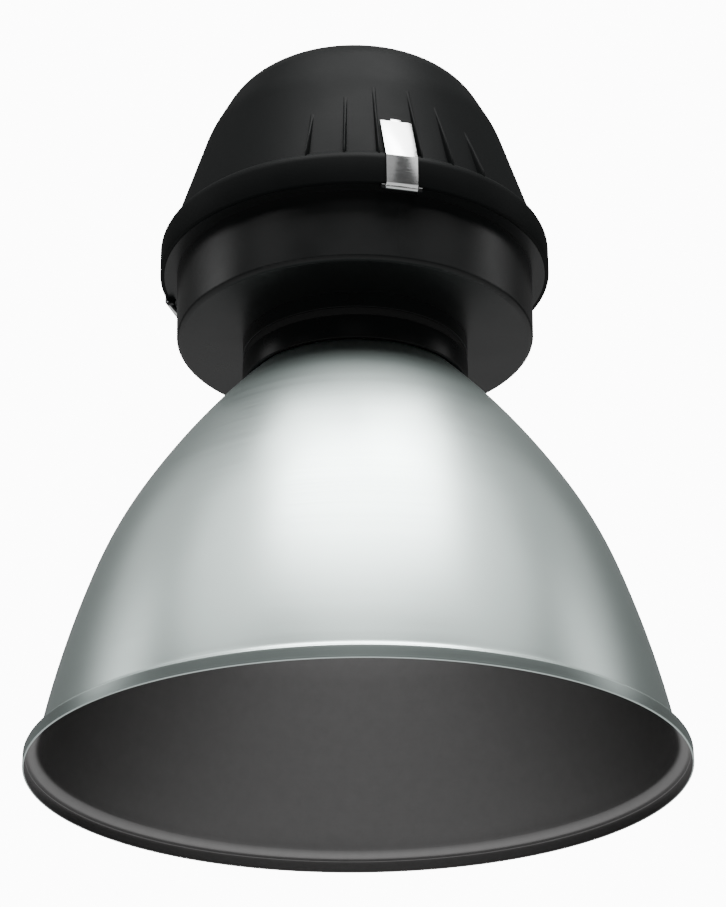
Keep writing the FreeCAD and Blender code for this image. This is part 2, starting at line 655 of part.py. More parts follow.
def clip_pin(name, turn):
    body = new_piece(name, turn=turn)
    pin = draw(body, "XZ", circles=[(PIN_X, PIN_Z, "pin_r")])
    feature(body, "Pad", pin, length="clip_w + 2 * (lug_gap + lug_w)", both_ways=True)


# ---------------------------------------------------------------- lampholder and lamp

HOLDER_TOP = f"{FLOOR_TOP} + bracket_rise - bracket_t"
CAVITY_TOP = f"{HOLDER_TOP} - holder_roof"
CAP_TOP = f"{CAVITY_TOP} - contact_h"
CAP_LOW = f"{CAP_TOP} - cap_h"


def lampholder_body():
    body = new_piece("lampholder_body")
    low = f"{HOLDER_TOP} - holder_h"
    turned(body, [
        ("0", HOLDER_TOP), ("holder_top_r", HOLDER_TOP),
        ("holder_r", f"{HOLDER_TOP} - holder_slope_h"), ("holder_r", f"{low} + holder_lip"),
        ("holder_r - holder_lip", low), ("holder_bore_r", low),
        ("holder_bore_r", CAVITY_TOP), ("0", CAVITY_TOP)])
    holes = draw(body, "XY", up=f"{HOLDER_TOP} - screw_deep", circles=[
        ("0", f"{side} * holder_screw_x", "small_r + slip_gap") for side in (-1, 1)])
    feature(body, "Pocket", holes, length="screw_deep", back=True)


def lampholder_shell():
    body = new_piece("lampholder_shell")
    outer = "holder_bore_r - slip_gap"
    inner = f"{outer} - shell_t"
    low = f"{HOLDER_TOP} - holder_h + shell_short"
    turned(body, [
        (inner, low), (outer, low), (outer, CAVITY_TOP), ("shell_hole_r", CAVITY_TOP),
        ("shell_hole_r", f"{CAVITY_TOP} - shell_t"), (inner, f"{CAVITY_TOP} - shell_t")])


def lampholder_contact():
    body = new_piece("lampholder_contact")
    turned(body, [("0", CAVITY_TOP), ("contact_r", CAVITY_TOP),
                  ("contact_r", f"{CAVITY_TOP} - contact_h / 3"),
                  ("contact_r / 2", CAP_TOP), ("0", CAP_TOP)])


def lampholder_bracket():
    """Hat-shaped strap that spans the hole in the bowl's floor."""
    body = new_piece("lampholder_bracket")
    leg, foot = "bowl_hole_r", "(bowl_hole_r + bracket_foot)"
    top = f"{FLOOR_TOP} + bracket_rise"
    half = [(foot, FLOOR_TOP), (foot, f"{FLOOR_TOP} + bracket_t"),
            (f"({leg} + bracket_t)", f"{FLOOR_TOP} + bracket_t"), (f"({leg} + bracket_t)", top)]
    inner = [(leg, HOLDER_TOP), (leg, FLOOR_TOP)]
    left = [(f"-{x}", z) for x, z in reversed(half)]
    left_inner = [(f"-{x}", z) for x, z in reversed(inner)]
    strap = draw(body, "YZ", half + left + left_inner + inner)
    feature(body, "Pad", strap, length="bracket_w", both_ways=True)
    holes = [("0", f"{side} * holder_screw_x", "small_r + slip_gap") for side in (-1, 1)]
    holes += [("0", f"{side} * (bowl_hole_r + bracket_foot / 2)", "tie_r + slip_gap")
              for side in (-1, 1)]
    feature(body, "Pocket", draw(body, "XY", circles=holes), through=True, back=True)


def lamp_cap():
    body = new_piece("lamp_cap")
    turned(body, [
        ("0", CAP_TOP), ("cap_tip_r", CAP_TOP), ("cap_tip_r + cap_tip_h / 2", f"{CAP_TOP} - cap_tip_h"),
        ("cap_r", f"{CAP_TOP} - cap_tip_h - cap_cone_h"), ("cap_r", CAP_LOW), ("0", CAP_LOW)])


# Shares that shape the bulb: its curves' radii, and where its rounded tip begins.
SIDE_BEND = 1.7
END_BEND = 1.2
TIP_BEND = 0.8
TIP_START_R = 0.62
TIP_START_H = 0.72


def lamp_bulb():
    """Coated outer bulb: a neck that flares into an egg-shaped body."""
    body = new_piece("lamp_bulb")
    neck_low = f"{CAP_LOW} - bulb_neck_h"
    wide = f"{neck_low} - bulb_wide_h"
    foot = f"{CAP_TOP} - lamp_h"
    end_h = f"({wide} - ({foot}))"
    turned(body, [
        ("0", CAP_LOW), ("bulb_neck_r", CAP_LOW), ("bulb_neck_r", neck_low),
        ("bulb_neck_r + (bulb_r - bulb_neck_r) / 3", f"{neck_low} - bulb_wide_h / 3",
         "bulb_flare_r"),
        ("bulb_r", wide, f"-{SIDE_BEND} * bulb_wide_h"),
        (f"{TIP_START_R} * bulb_r", f"{wide} - {TIP_START_H} * {end_h}", f"-{END_BEND} * {end_h}"),
        ("0", foot, f"-{TIP_BEND} * bulb_r")])


# ---------------------------------------------------------------- gear tray

TRAY_Z = f"{FLOOR_TOP} + boss_h"
TRAY_TOP = f"{TRAY_Z} + tray_t"
BASE_SCREWS = [(f"ballast_x + {a} * base_screw_x", f"{b} * base_screw_y")
               for a in (-1, 1) for b in (-1, 1)]
BLOCK_SCREWS = [("block_x", f"{side} * (way_pitch * way_count / 2 + way_pitch / 3)")
                for side in (-1, 1)]


def gear_tray():
    body = new_piece("gear_tray")
    inner = "tray_r - tray_t"
    turned(body, [("0", TRAY_Z), ("tray_r", TRAY_Z), ("tray_r", f"{TRAY_Z} + tray_lip"),
                  (inner, f"{TRAY_Z} + tray_lip"), (inner, TRAY_TOP), ("0", TRAY_TOP)])
    holes = [("wire_hole_x", "0", "wire_hole_r"), ("can_x", "can_y", "stud_r + slip_gap"),
             ("igniter_x", "igniter_y", "stud_r + slip_gap"),
             ("earth_x", "earth_y", "tie_r + slip_gap")]
    holes += [(x, y, "small_r + slip_gap") for x, y in BASE_SCREWS + BLOCK_SCREWS]
    feature(body, "Pocket", draw(body, "XY", circles=holes), through=True, back=True)
    screw = draw(body, "XY", circles=[("-boss_place", "0", "tie_r + slip_gap")])
    repeat(body, [feature(body, "Pocket", screw, through=True, back=True)])


def ballast():
    base = new_piece("ballast_base", x="ballast_x")
    plate = draw(base, "XY", oblong("0", "0", "ballast_w", "base_l"), up=TRAY_TOP, circles=[
        (f"{a} * base_screw_x", f"{b} * base_screw_y", "small_r + slip_gap")
        for a in (-1, 1) for b in (-1, 1)])
    feature(base, "Pad", plate, length="base_t")
    core = new_piece("ballast_core", x="ballast_x")
    middle = f"{TRAY_TOP} + base_t + ballast_h / 2"
    block = draw(core, "XZ", oblong("0", middle, "ballast_w", "ballast_h"))
    feature(core, "Pad", block, length="ballast_l", both_ways=True)
    window = draw(core, "XZ", oblong("0", middle, "window_w", "window_h"))
    feature(core, "Pocket", window, length="ballast_l", both_ways=True)
    coil = new_piece("ballast_coil", x="ballast_x")
    wound = draw(coil, "XZ", oblong("0", middle, "window_w - 2 * slip_gap",
                                    "window_h - 2 * slip_gap"))
    feature(coil, "Pad", wound, length="ballast_l + coil_out", both_ways=True)
    end = draw(coil, "XZ", oblong("0", middle, "window_w + 2 * coil_grow",
                                  "window_h + 2 * coil_grow"), up="ballast_l / 2")
    end = feature(coil, "Pad", end, length="coil_out")
    mirrored(coil, [end])


def stud_below(body, length="stud_h"):
    """Threaded stud that passes down through the tray."""
    stud = draw(body, "XY", circles=[("0", "0", "stud_r")], up=f"{TRAY_TOP} - ({length})")
    feature(body, "Pad", stud, length=length)


def capacitor():
    body = new_piece("capacitor", x="can_x", y="can_y")
    top = f"{TRAY_TOP} + can_h"
    turned(body, [
        ("0", TRAY_TOP), ("can_r", TRAY_TOP), ("can_r", top), ("can_r - can_lip", top),
        ("can_r - can_lip", f"{top} - can_lip"), ("0", f"{top} - can_lip")])
    stud_below(body)
    for side in (-1, 1):
        lead = draw(body, "XY", oblong(f"{side} * lead_x", "0", "lead_t", "lead_w"),
                    up=f"{top} - can_lip")
        feature(body, "Pad", lead, length="lead_h")


def ignitor():
    body = new_piece("ignitor", x="igniter_x", y="igniter_y")
    box = draw(body, "XY", oblong("0", "0", "igniter_l", "igniter_w"), up=TRAY_TOP)
    feature(body, "Pad", box, length="igniter_h")
    dress(body, "Fillet", upright_edges(body), "igniter_round")
    stud_below(body)


def stud_nuts():
    body = new_piece("stud_nuts")
    for x, y in (("can_x", "can_y"), ("igniter_x", "igniter_y")):
        nut = [(f"{x} + {a}", f"{y} + {b}") for a, b in hexagon("stud_nut_r")]
        nut = draw(body, "XY", nut, circles=[(x, y, "stud_r + slip_gap")],
                   up=f"{TRAY_Z} - stud_nut_h")
        feature(body, "Pad", nut, length="stud_nut_h")


def terminal_block():
    body = new_piece("terminal_block", x="block_x")
    steps = [("block_w / 2", TRAY_TOP), ("block_w / 2", f"{TRAY_TOP} + block_low"),
             ("block_top_w / 2", f"{TRAY_TOP} + block_low"),
             ("block_top_w / 2", f"{TRAY_TOP} + block_h")]
    section = steps + [(f"-{x}", z) for x, z in reversed(steps)]
    feature(body, "Pad", draw(body, "XZ", section), length="block_l", both_ways=True)
    ways = [("0", f"way_pitch * ({index} - (way_count - 1) / 2)", "way_r")
            for index in range(round(number("way_count")))]
    ways = draw(body, "XY", circles=ways, up=f"{TRAY_TOP} + block_h")
    feature(body, "Pocket", ways, length="way_deep")
    fixings = [("0", f"{side} * (way_pitch * way_count / 2 + way_pitch / 3)",
                "small_r + slip_gap") for side in (-1, 1)]
    feature(body, "Pocket", draw(body, "XY", circles=fixings), through=True, back=True)


def terminal_screws():
    body = new_piece("terminal_screws", x="block_x")
    for index in range(round(number("way_count"))):
        screw = [("0", f"way_pitch * ({index} - (way_count - 1) / 2)", "way_r - slip_gap")]
        screw = draw(body, "XY", circles=screw, up=f"{TRAY_TOP} + block_h - way_deep")
        feature(body, "Pad", screw, length="way_screw_h")


# ---------------------------------------------------------------- screws and nuts

def screw(body, spots, seat, radius, head_r, head_h, length, head_up=True):
    """Round-headed screws at the given places; the head sits on the seat's height."""
    for x, y in spots:
        head = draw(body, "XY", circles=[(x, y, head_r)], up=seat)
        feature(body, "Pad", head, length=head_h, back=not head_up)
        shank = draw(body, "XY", circles=[(x, y, radius)], up=seat)
        feature(body, "Pad", shank, length=length, back=head_up)


def tie_screws():
    body = new_piece("tie_screws")
    seat = "bell_z - sheet"
    head = draw(body, "XY", circles=[("-tie_place", "0", "tie_head_r")], up=seat)
    head = feature(body, "Pad", head, length="tie_head_h", back=True)
    shank = draw(body, "XY", circles=[("-tie_place", "0", "tie_r")], up=seat)
    shank = feature(body, "Pad", shank, length=f"{FLOOR_TOP} + tie_over - ({seat})")
    repeat(body, [head, shank])


def tie_nuts():
    body = new_piece("tie_nuts")
    nut = [(f"{a} - tie_place", b) for a, b in hexagon("tie_nut_r")]
    nut = draw(body, "XY", nut, circles=TIE_HOLE, up=FLOOR_TOP)
    repeat(body, [feature(body, "Pad", nut, length="tie_nut_h")])


def tray_screws():
    body = new_piece("tray_screws")
    head = draw(body, "XY", circles=[("-boss_place", "0", "tie_head_r")], up=TRAY_TOP)
    head = feature(body, "Pad", head, length="tie_head_h")
    shank = draw(body, "XY", circles=[("-boss_place", "0", "tie_r")], up=TRAY_TOP)
    shank = feature(body, "Pad", shank, length="tray_t + screw_deep", back=True)
    repeat(body, [head, shank])


def gear_screws():
    """Small screws that hold the ballast and the terminal block on the tray."""
    body = new_piece("gear_screws")
    screw(body, BASE_SCREWS, f"{TRAY_TOP} + base_t", "small_r", "small_head_r",
          "small_head_h", "base_t + tray_t + small_r")
    screw(body, BLOCK_SCREWS, f"{TRAY_TOP} + block_h", "small_r", "small_head_r",
          "small_head_h", "block_h + tray_t + small_r")


def bracket_screws():
    body = new_piece("bracket_screws")
    spots = [("0", f"{side} * (bowl_hole_r + bracket_foot / 2)") for side in (-1, 1)]
    screw(body, spots, f"{FLOOR_TOP} + bracket_t", "tie_r", "tie_head_r", "tie_head_h",
          "bracket_t + bowl_wall")


def lampholder_screws():
    body = new_piece("lampholder_screws")
    spots = [("0", f"{side} * holder_screw_x") for side in (-1, 1)]
    screw(body, spots, f"{FLOOR_TOP} + bracket_rise", "small_r", "small_head_r",
          "small_head_h", "bracket_t + screw_deep - small_r")


def earth():
    stud = new_piece("earth_screw", x="earth_x", y="earth_y")
    screw(stud, [("0", "0")], TRAY_Z, "tie_r", "tie_head_r", "tie_head_h",
          "tray_t + tie_nut_h + tie_r", head_up=False)
    nut = new_piece("earth_nut", x="earth_x", y="earth_y")
    ring = draw(nut, "XY", hexagon("tie_nut_r"), circles=[("0", "0", "tie_r + slip_gap")],
                up=TRAY_TOP)
    feature(nut, "Pad", ring, length="tie_nut_h")


# ---------------------------------------------------------------- suspension and cable

COLLAR_Z = "crown_z + eye_washer_h"


def suspension_eye():
    """Forged eye with a collar and a threaded shank through the dome's top."""
    body = new_piece("suspension_eye")
    eye_z = f"{COLLAR_Z} + eye_rise"
    disc = draw(body, "YZ", circles=[("0", eye_z, "eye_r")])
    disc = feature(body, "Pad", disc, length="eye_t", both_ways=True)
    round_edges = [f"Edge{index}" for index, edge in enumerate(disc.Shape.Edges, start=1)
                   if isinstance(edge.Curve, Part.Circle)]
    dress(body, "Chamfer", round_edges, "eye_edge")
    turned(body, [
        ("0", "crown_z - shank_h"), ("shank_r", "crown_z - shank_h"), ("shank_r", COLLAR_Z),
        ("eye_collar_r", COLLAR_Z), ("eye_collar_r", f"{COLLAR_Z} + eye_collar_h / 2"),
        ("eye_neck_r", f"{COLLAR_Z} + eye_collar_h"),
        ("eye_neck_r", f"{eye_z} - eye_bore_r - 2 * eye_edge"),
        ("0", f"{eye_z} - eye_bore_r - 2 * eye_edge")])
    bore = draw(body, "YZ", circles=[("0", eye_z, "eye_bore_r")])
    feature(body, "Pocket", bore, length="eye_t", both_ways=True)


def eye_washer():
    body = new_piece("eye_washer")
    turned(body, [("shank_r + slip_gap", "crown_z"), ("eye_collar_r", "crown_z"),
                  ("eye_collar_r", COLLAR_Z), ("shank_r + slip_gap", COLLAR_Z)])


def eye_nut():
    body = new_piece("eye_nut")
    nut = draw(body, "XY", hexagon("eye_nut_r"), circles=[("0", "0", "shank_r + slip_gap")],
               up="crown_z - dome_wall")
    feature(body, "Pad", nut, length="eye_nut_h", back=True)


def cable_gland():
    body = new_piece("gland_body", x="gland_x")
    tube_z = "crown_z + gland_hex_h"
    turned(body, [
        ("gland_bore_r", "crown_z - gland_spigot_h"),
        ("gland_spigot_r", "crown_z - gland_spigot_h"), ("gland_spigot_r", tube_z),
        ("gland_tube_r", tube_z), ("gland_tube_r", f"{tube_z} + gland_tube_h"),
        ("gland_seat_r", f"{tube_z} + gland_tube_h"),
        ("gland_seat_r", f"{tube_z} + gland_tube_h - gland_seat_h"),
        ("gland_bore_r", f"{tube_z} + gland_tube_h - gland_seat_h")])
    hexa = draw(body, "XY", hexagon("gland_hex_r"), up="crown_z",
                circles=[("0", "0", "gland_spigot_r - gland_bore_r / 4")])
    feature(body, "Pad", hexa, length="gland_hex_h")
    nut = new_piece("gland_nut", x="gland_x")
    low = f"{tube_z} + run_gap"
    top = f"{low} + gland_nut_h"
    inner = "gland_tube_r + slip_gap"
    turned(nut, [
        (inner, low), ("gland_nut_r", low), ("gland_nut_r", f"{top} - gland_nut_edge"),
        ("gland_nut_r - gland_nut_edge", top), ("gland_bore_r", top),
        ("gland_bore_r", f"{top} - gland_roof"), (inner, f"{top} - gland_roof")])
    seal = new_piece("gland_seal", x="gland_x")
    seat = f"{tube_z} + gland_tube_h - gland_seat_h"
    outer = "gland_seat_r - slip_gap"
    turned(seal, [("cable_r", seat), (outer, seat), (outer, f"{top} - gland_roof"),
                  ("cable_r", f"{top} - gland_roof")])
    lock = new_piece("gland_locknut", x="gland_x")
    ring = draw(lock, "XY", hexagon("gland_hex_r"), up="crown_z - dome_wall",
                circles=[("0", "0", "gland_spigot_r + slip_gap")])
    feature(lock, "Pad", ring, length="locknut_h", back=True)


# ---------------------------------------------------------------- build and write

reflector()
reflector_collar()
neck_gasket()
neck_spacer()
gear_bowl()
housing_gasket()
dome_cover()
for index in range(3):
    place = f"front_turn + {index} * third_turn"
    clip(f"clip_{index + 1}", place)
    clip_pin(f"clip_pin_{index + 1}", place)
lampholder_body()
lampholder_shell()
lampholder_contact()
lampholder_bracket()
lamp_cap()
lamp_bulb()
gear_tray()
ballast()
capacitor()
ignitor()
stud_nuts()
terminal_block()
terminal_screws()
tie_screws()
tie_nuts()
tray_screws()
gear_screws()
bracket_screws()
lampholder_screws()
earth()
suspension_eye()
eye_washer()
eye_nut()
cable_gland()
doc.recompute()

faults = [item.Name for item in doc.Objects if {"Invalid", "Error"} & set(item.State)]
faults += [body.Label for body in pieces if body.Shape.isNull() or not body.Shape.isValid()]
if faults:
    raise RuntimeError("failed: " + ", ".join(faults))
os.makedirs("parts", exist_ok=True)
for body in pieces:
    body.Shape.exportStep(f"parts/{body.Label}.step")
print(len(pieces), "pieces written")
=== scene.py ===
"""High bay light: spun reflector, short neck, black gear housing with three spring clips.

Metres throughout. The origin is the centre of the reflector's mouth, +Z runs up the
axis and -Y points to the first clip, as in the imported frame.
"""

import json
import math

import bmesh
import bpy
from mathutils import Matrix, Vector


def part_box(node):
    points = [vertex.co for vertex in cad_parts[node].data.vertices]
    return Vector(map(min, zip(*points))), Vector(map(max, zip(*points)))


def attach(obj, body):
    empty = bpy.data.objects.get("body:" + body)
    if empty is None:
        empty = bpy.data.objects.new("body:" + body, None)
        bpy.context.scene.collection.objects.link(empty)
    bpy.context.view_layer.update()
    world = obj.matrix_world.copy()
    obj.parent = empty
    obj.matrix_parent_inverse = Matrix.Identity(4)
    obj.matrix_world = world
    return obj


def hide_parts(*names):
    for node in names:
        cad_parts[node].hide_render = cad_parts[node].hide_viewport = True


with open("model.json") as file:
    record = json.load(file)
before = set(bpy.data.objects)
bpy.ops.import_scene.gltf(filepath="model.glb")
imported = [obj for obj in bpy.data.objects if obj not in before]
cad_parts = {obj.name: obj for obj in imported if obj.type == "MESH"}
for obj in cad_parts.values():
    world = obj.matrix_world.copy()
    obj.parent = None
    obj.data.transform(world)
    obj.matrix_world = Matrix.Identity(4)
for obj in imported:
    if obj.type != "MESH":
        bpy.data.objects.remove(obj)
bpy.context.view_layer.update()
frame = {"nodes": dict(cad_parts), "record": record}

bl_info = {
    "name": "High bay light",
    "version": (1, 0, 0),
    "blender": (4, 5, 0),
    "location": "View3D > Sidebar > High Bay",
    "description": "Dresses the frame of a high bay light with its spun, cast and sprung pieces",
    "category": "Object",
}

MM = 0.001
TURN = 2 * math.pi

# The first clip's direction about Z, and the step from one clip to the next.
FRONT = -math.pi / 2
THIRD = TURN / 3

# Faces that meet at a smaller angle than this, in degrees, are shaded as one surface.
SMOOTH = 32.0

# The dome's wall: (radius, height) of the crease above its ring band and of the
# break where it begins to lean in more, and how much it leans between them.
CREASE = (146.8 * MM, 443.4 * MM)
BREAK = (118.7 * MM, 531.9 * MM)
WALL_LEAN = (CREASE[0] - BREAK[0]) / (BREAK[1] - CREASE[1])

# U is measured at this radius in the UV maps of turned pieces.
UV_RADIUS = 0.24


# ---------------------------------------------------------------- outlines

def arc(start, end, radius, count):
    """Points of the short arc that bulges to the right on the way from start to end."""
    start, end = Vector(start), Vector(end)
    across = end - start
    middle = (start + end) / 2
    rise = math.sqrt(max(radius * radius - across.length_squared / 4, 0.0))
    centre = middle + Vector((-across.y, across.x)).normalized() * rise
    first = math.atan2(start.y - centre.y, start.x - centre.x)
    last = math.atan2(end.y - centre.y, end.x - centre.x)
    sweep = (last - first + math.pi) % TURN - math.pi
    turns = [first + sweep * i / count for i in range(count + 1)]
    return [centre + radius * Vector((math.cos(a), math.sin(a))) for a in turns]


def bell_line(start, end, spans, count=34):
    """Points of a smooth chain of arcs from start up to end.

    Each span is the height where an arc ends and its radius. The lean of the wall at
    the start is found by halving, so that the chain ends on the right radius.
    """
    def climb(lean, keep=None):
        radius, height = start
        for top, bend in spans:
            first = math.asin(min(math.sin(lean), 1.0))
            last = math.asin(min(math.sin(lean) + (top - height) / bend, 1.0))
            for i in range(1, count + 1) if keep is not None else ():
                at = first + (last - first) * i / count
                keep.append(Vector((radius - bend * (math.cos(first) - math.cos(at)),
                                    height + bend * (math.sin(at) - math.sin(first)))))
            radius -= bend * (math.cos(first) - math.cos(last))
            height, lean = top, last
        return radius

    low, high = 0.0, 0.8
    for _ in range(50):
        lean = (low + high) / 2
        low, high = (lean, high) if climb(lean) > end[0] else (low, lean)
    line = [Vector(start)]
    climb(low, line)
    return line


def rounded(corners, closed=True, step=math.radians(9)):
    """Outline through corners (x, y) or (x, y, radius), with an arc in each that has a radius."""
    spots = [Vector(c[:2]) for c in corners]
    radii = [c[2] if len(c) > 2 else 0.0 for c in corners]
    out = []
    for i, (spot, radius) in enumerate(zip(spots, radii)):
        ends = not closed and i in (0, len(spots) - 1)
        before, after = spots[i - 1], spots[(i + 1) % len(spots)]
        a, b = (before - spot), (after - spot)
        if radius <= 0 or ends or a.length < 1e-9 or b.length < 1e-9:
            out.append(spot)
            continue
        a.normalize()
        b.normalize()
        half = a.angle(b) / 2
        if half > math.radians(89.5):
            out.append(spot)
            continue
        reach = radius / math.tan(half)
        centre = spot + (a + b).normalized() * (radius / math.sin(half))
        start, end = spot + a * reach - centre, spot + b * reach - centre
        sweep = math.atan2(start.x * end.y - start.y * end.x, start.dot(end))
        count = max(2, math.ceil(abs(sweep) / step))
        for k in range(count + 1):
            out.append(centre + Matrix.Rotation(sweep * k / count, 2) @ start)
    return out


def offset(points, depth):
    """Open outline moved by depth to the right of its direction."""
    out = []
    for i, spot in enumerate(points):
        along = points[min(i + 1, len(points) - 1)] - points[max(i - 1, 0)]
        out.append(spot + Vector((along.y, -along.x)).normalized() * depth)
    return out


# ---------------------------------------------------------------- meshes

def from_bmesh(name, bm, smooth_angle=SMOOTH):
    """Object at the origin for a bmesh, which is used up, smooth but for its sharp edges."""
    mesh = bpy.data.meshes.new(name)
    bmesh.ops.recalc_face_normals(bm, faces=bm.faces)
    bm.to_mesh(mesh)
    bm.free()
    piece = bpy.data.objects.new(name, mesh)
    bpy.context.scene.collection.objects.link(piece)
    mesh.shade_smooth()
    mesh.set_sharp_from_angle(angle=math.radians(smooth_angle))
    return piece


def spin(bm, outline, steps):
    """Adds the surface that a closed outline of (radius, height) makes round Z, with its UV map.

    U runs round the axis and V along the outline, both in metres.
    """
    uv = bm.loops.layers.uv.verify()
    tiny = 1e-7
    rings = []
    for spot in outline:
        if spot[0] < tiny:
            rings.append([bm.verts.new((0.0, 0.0, spot[1]))])
        else:
            rings.append([
                bm.verts.new((spot[0] * math.cos(TURN * k / steps),
                              spot[0] * math.sin(TURN * k / steps), spot[1]))
                for k in range(steps)])
    travelled = [0.0]
    for a, b in zip(outline, outline[1:] + outline[:1]):
        travelled.append(travelled[-1] + (Vector(b[:2]) - Vector(a[:2])).length)
    for i in range(len(outline)):
        low, high = rings[i], rings[(i + 1) % len(rings)]
        for k in range(steps):
            n = (k + 1) % steps
            if len(low) == 1 and len(high) == 1:
                continue
            if len(low) == 1:
                corners = [(low[0], k + 0.5, i), (high[n], k + 1, i + 1), (high[k], k, i + 1)]
            elif len(high) == 1:
                corners = [(low[k], k, i), (low[n], k + 1, i), (high[0], k + 0.5, i + 1)]
            else:
                corners = [(low[k], k, i), (low[n], k + 1, i),
                           (high[n], k + 1, i + 1), (high[k], k, i + 1)]
            face = bm.faces.new([c[0] for c in corners])
            for loop, (_, turn, along) in zip(face.loops, corners):
                loop[uv].uv = (UV_RADIUS * TURN * turn / steps, travelled[along])


def spun(name, outline, steps, smooth_angle=SMOOTH):
    """Solid of revolution from a closed outline of (radius, height)."""
    bm = bmesh.new()
    spin(bm, outline, steps)
    return from_bmesh(name, bm, smooth_angle)


def pushed(bm, outline, width, turn=0.0):
    """Adds the solid that an (x, z) outline makes along Y, centred, then turned about Z."""
    move = Matrix.Rotation(turn, 4, "Z")
    ends = []
    for side in (-width / 2, width / 2):
        ends.append([bm.verts.new(move @ Vector((p[0], side, p[1]))) for p in outline])
    first, last = ends
    bm.faces.new(first)
    bm.faces.new(list(reversed(last)))
    for i in range(len(outline)):
        n = (i + 1) % len(outline)
        bm.faces.new((first[i], last[i], last[n], first[n]))


def bevelled(piece, width, segments):
    """Rounds a piece's edges in its mesh where faces meet at 35 degrees or more."""
    rounding = piece.modifiers.new("edge rounding", "BEVEL")
    rounding.width = width
    rounding.segments = segments
    rounding.limit_method = "ANGLE"
    rounding.angle_limit = math.radians(35.0)
    return settled(piece)


def settled(piece):
    """Turns a piece with live modifiers into a plain mesh."""
    graph = bpy.context.evaluated_depsgraph_get()
    graph.update()
    mesh = bpy.data.meshes.new_from_object(piece.evaluated_get(graph))
    piece.modifiers.clear()
    piece.data = mesh
    mesh.shade_smooth()
    mesh.set_sharp_from_angle(angle=math.radians(SMOOTH))
    return piece


def joined(piece, other):
    """Adds another object's mesh to a piece and removes that object."""
    bm = bmesh.new()
    bm.from_mesh(piece.data)
    bm.from_mesh(other.data)
    bm.to_mesh(piece.data)
    bm.free()
    bpy.data.objects.remove(other)
    piece.data.set_sharp_from_angle(angle=math.radians(SMOOTH))


def finished(piece, body, material, slot, *nodes):
    """Gives a piece its material and body, and hides the CAD nodes it stands for."""
    piece.data.materials.clear()
    piece.data.materials.append(material)
    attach(piece, body)
    if nodes:
        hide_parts(*nodes)


# ---------------------------------------------------------------- materials

def shader(name, color, metallic, roughness):
    """New material, with its node tree and its shader node."""
    material = bpy.data.materials.new(name)
    material.use_nodes = True
    material.diffuse_color = (*color, 1.0)
    tree = material.node_tree
    surface = tree.nodes["Principled BSDF"]
    surface.inputs["Base Color"].default_value = (*color, 1.0)
    surface.inputs["Metallic"].default_value = metallic
    surface.inputs["Roughness"].default_value = roughness
    return material, tree, surface


def node(tree, kind, **values):
    """Adds a node; names that begin with in__ are inputs, the rest are properties."""
    made = tree.nodes.new(kind)
    for key, value in values.items():
        if key.startswith("in__"):
            made.inputs[key[4:].replace("_", " ")].default_value = value
        else:
            setattr(made, key, value)
    return made


def object_noise(tree, scale, detail=3.0, stretch=None, rough=0.55):
    """Noise on the Object coordinates, stretched if asked."""
    coords = node(tree, "ShaderNodeTexCoord")
    source = coords.outputs["Object"]
    if stretch:
        mapping = node(tree, "ShaderNodeMapping")
        mapping.inputs["Scale"].default_value = stretch
        tree.links.new(source, mapping.inputs["Vector"])
        source = mapping.outputs["Vector"]
    noise = node(tree, "ShaderNodeTexNoise", in__Scale=scale, in__Detail=detail, in__Roughness=rough)
    tree.links.new(source, noise.inputs["Vector"])
    return noise.outputs["Fac"]


def spread(tree, source, low, high):
    """Maps the middle of a noise to low..high."""
    ramp = node(tree, "ShaderNodeMapRange")
    ramp.inputs["From Min"].default_value = 0.3
    ramp.inputs["From Max"].default_value = 0.7
    ramp.inputs["To Min"].default_value = low
    ramp.inputs["To Max"].default_value = high
    tree.links.new(source, ramp.inputs["Value"])
    return ramp.outputs["Result"]


def mixed(tree, share, first, second):
    """Colour between two colours or sockets, by a share."""
    mix = node(tree, "ShaderNodeMix", data_type="RGBA")
    tree.links.new(share, mix.inputs["Factor"])
    for name, value in (("A_Color", first), ("B_Color", second)):
        socket = next(s for s in mix.inputs if s.identifier == name)
        if isinstance(value, bpy.types.NodeSocket):
            tree.links.new(value, socket)
        else:
            socket.default_value = (*value, 1.0)
    return next(s for s in mix.outputs if s.identifier == "Result_Color")


def tinted(tree, surface, source, dark, light):
    """Base colour between dark and light by a noise."""
    tree.links.new(mixed(tree, source, dark, light), surface.inputs["Base Color"])


def bumped(tree, surface, source, height, strength=1.0):
    """Fine relief of the surface by a noise or wave."""
    bump = node(tree, "ShaderNodeBump")
    bump.inputs["Strength"].default_value = strength
    bump.inputs["Distance"].default_value = height
    tree.links.new(source, bump.inputs["Height"])
    tree.links.new(bump.outputs["Normal"], surface.inputs["Normal"])


def powder_black(name, color, roughness, peel, gloss):
    """Black powder coat: orange peel, a trace of dust in its colour, uneven gloss."""
    material, tree, surface = shader(name, color, 0.0, roughness)
    surface.inputs["Specular IOR Level"].default_value = gloss
    soft = object_noise(tree, 14.0, detail=4.0)
    tinted(tree, surface, soft, [c * 0.8 for c in color], [c * 1.25 for c in color])
    tree.links.new(spread(tree, soft, roughness - 0.05, roughness + 0.05), surface.inputs["Roughness"])
    bumped(tree, surface, object_noise(tree, 900.0, detail=2.0), peel)
    return material


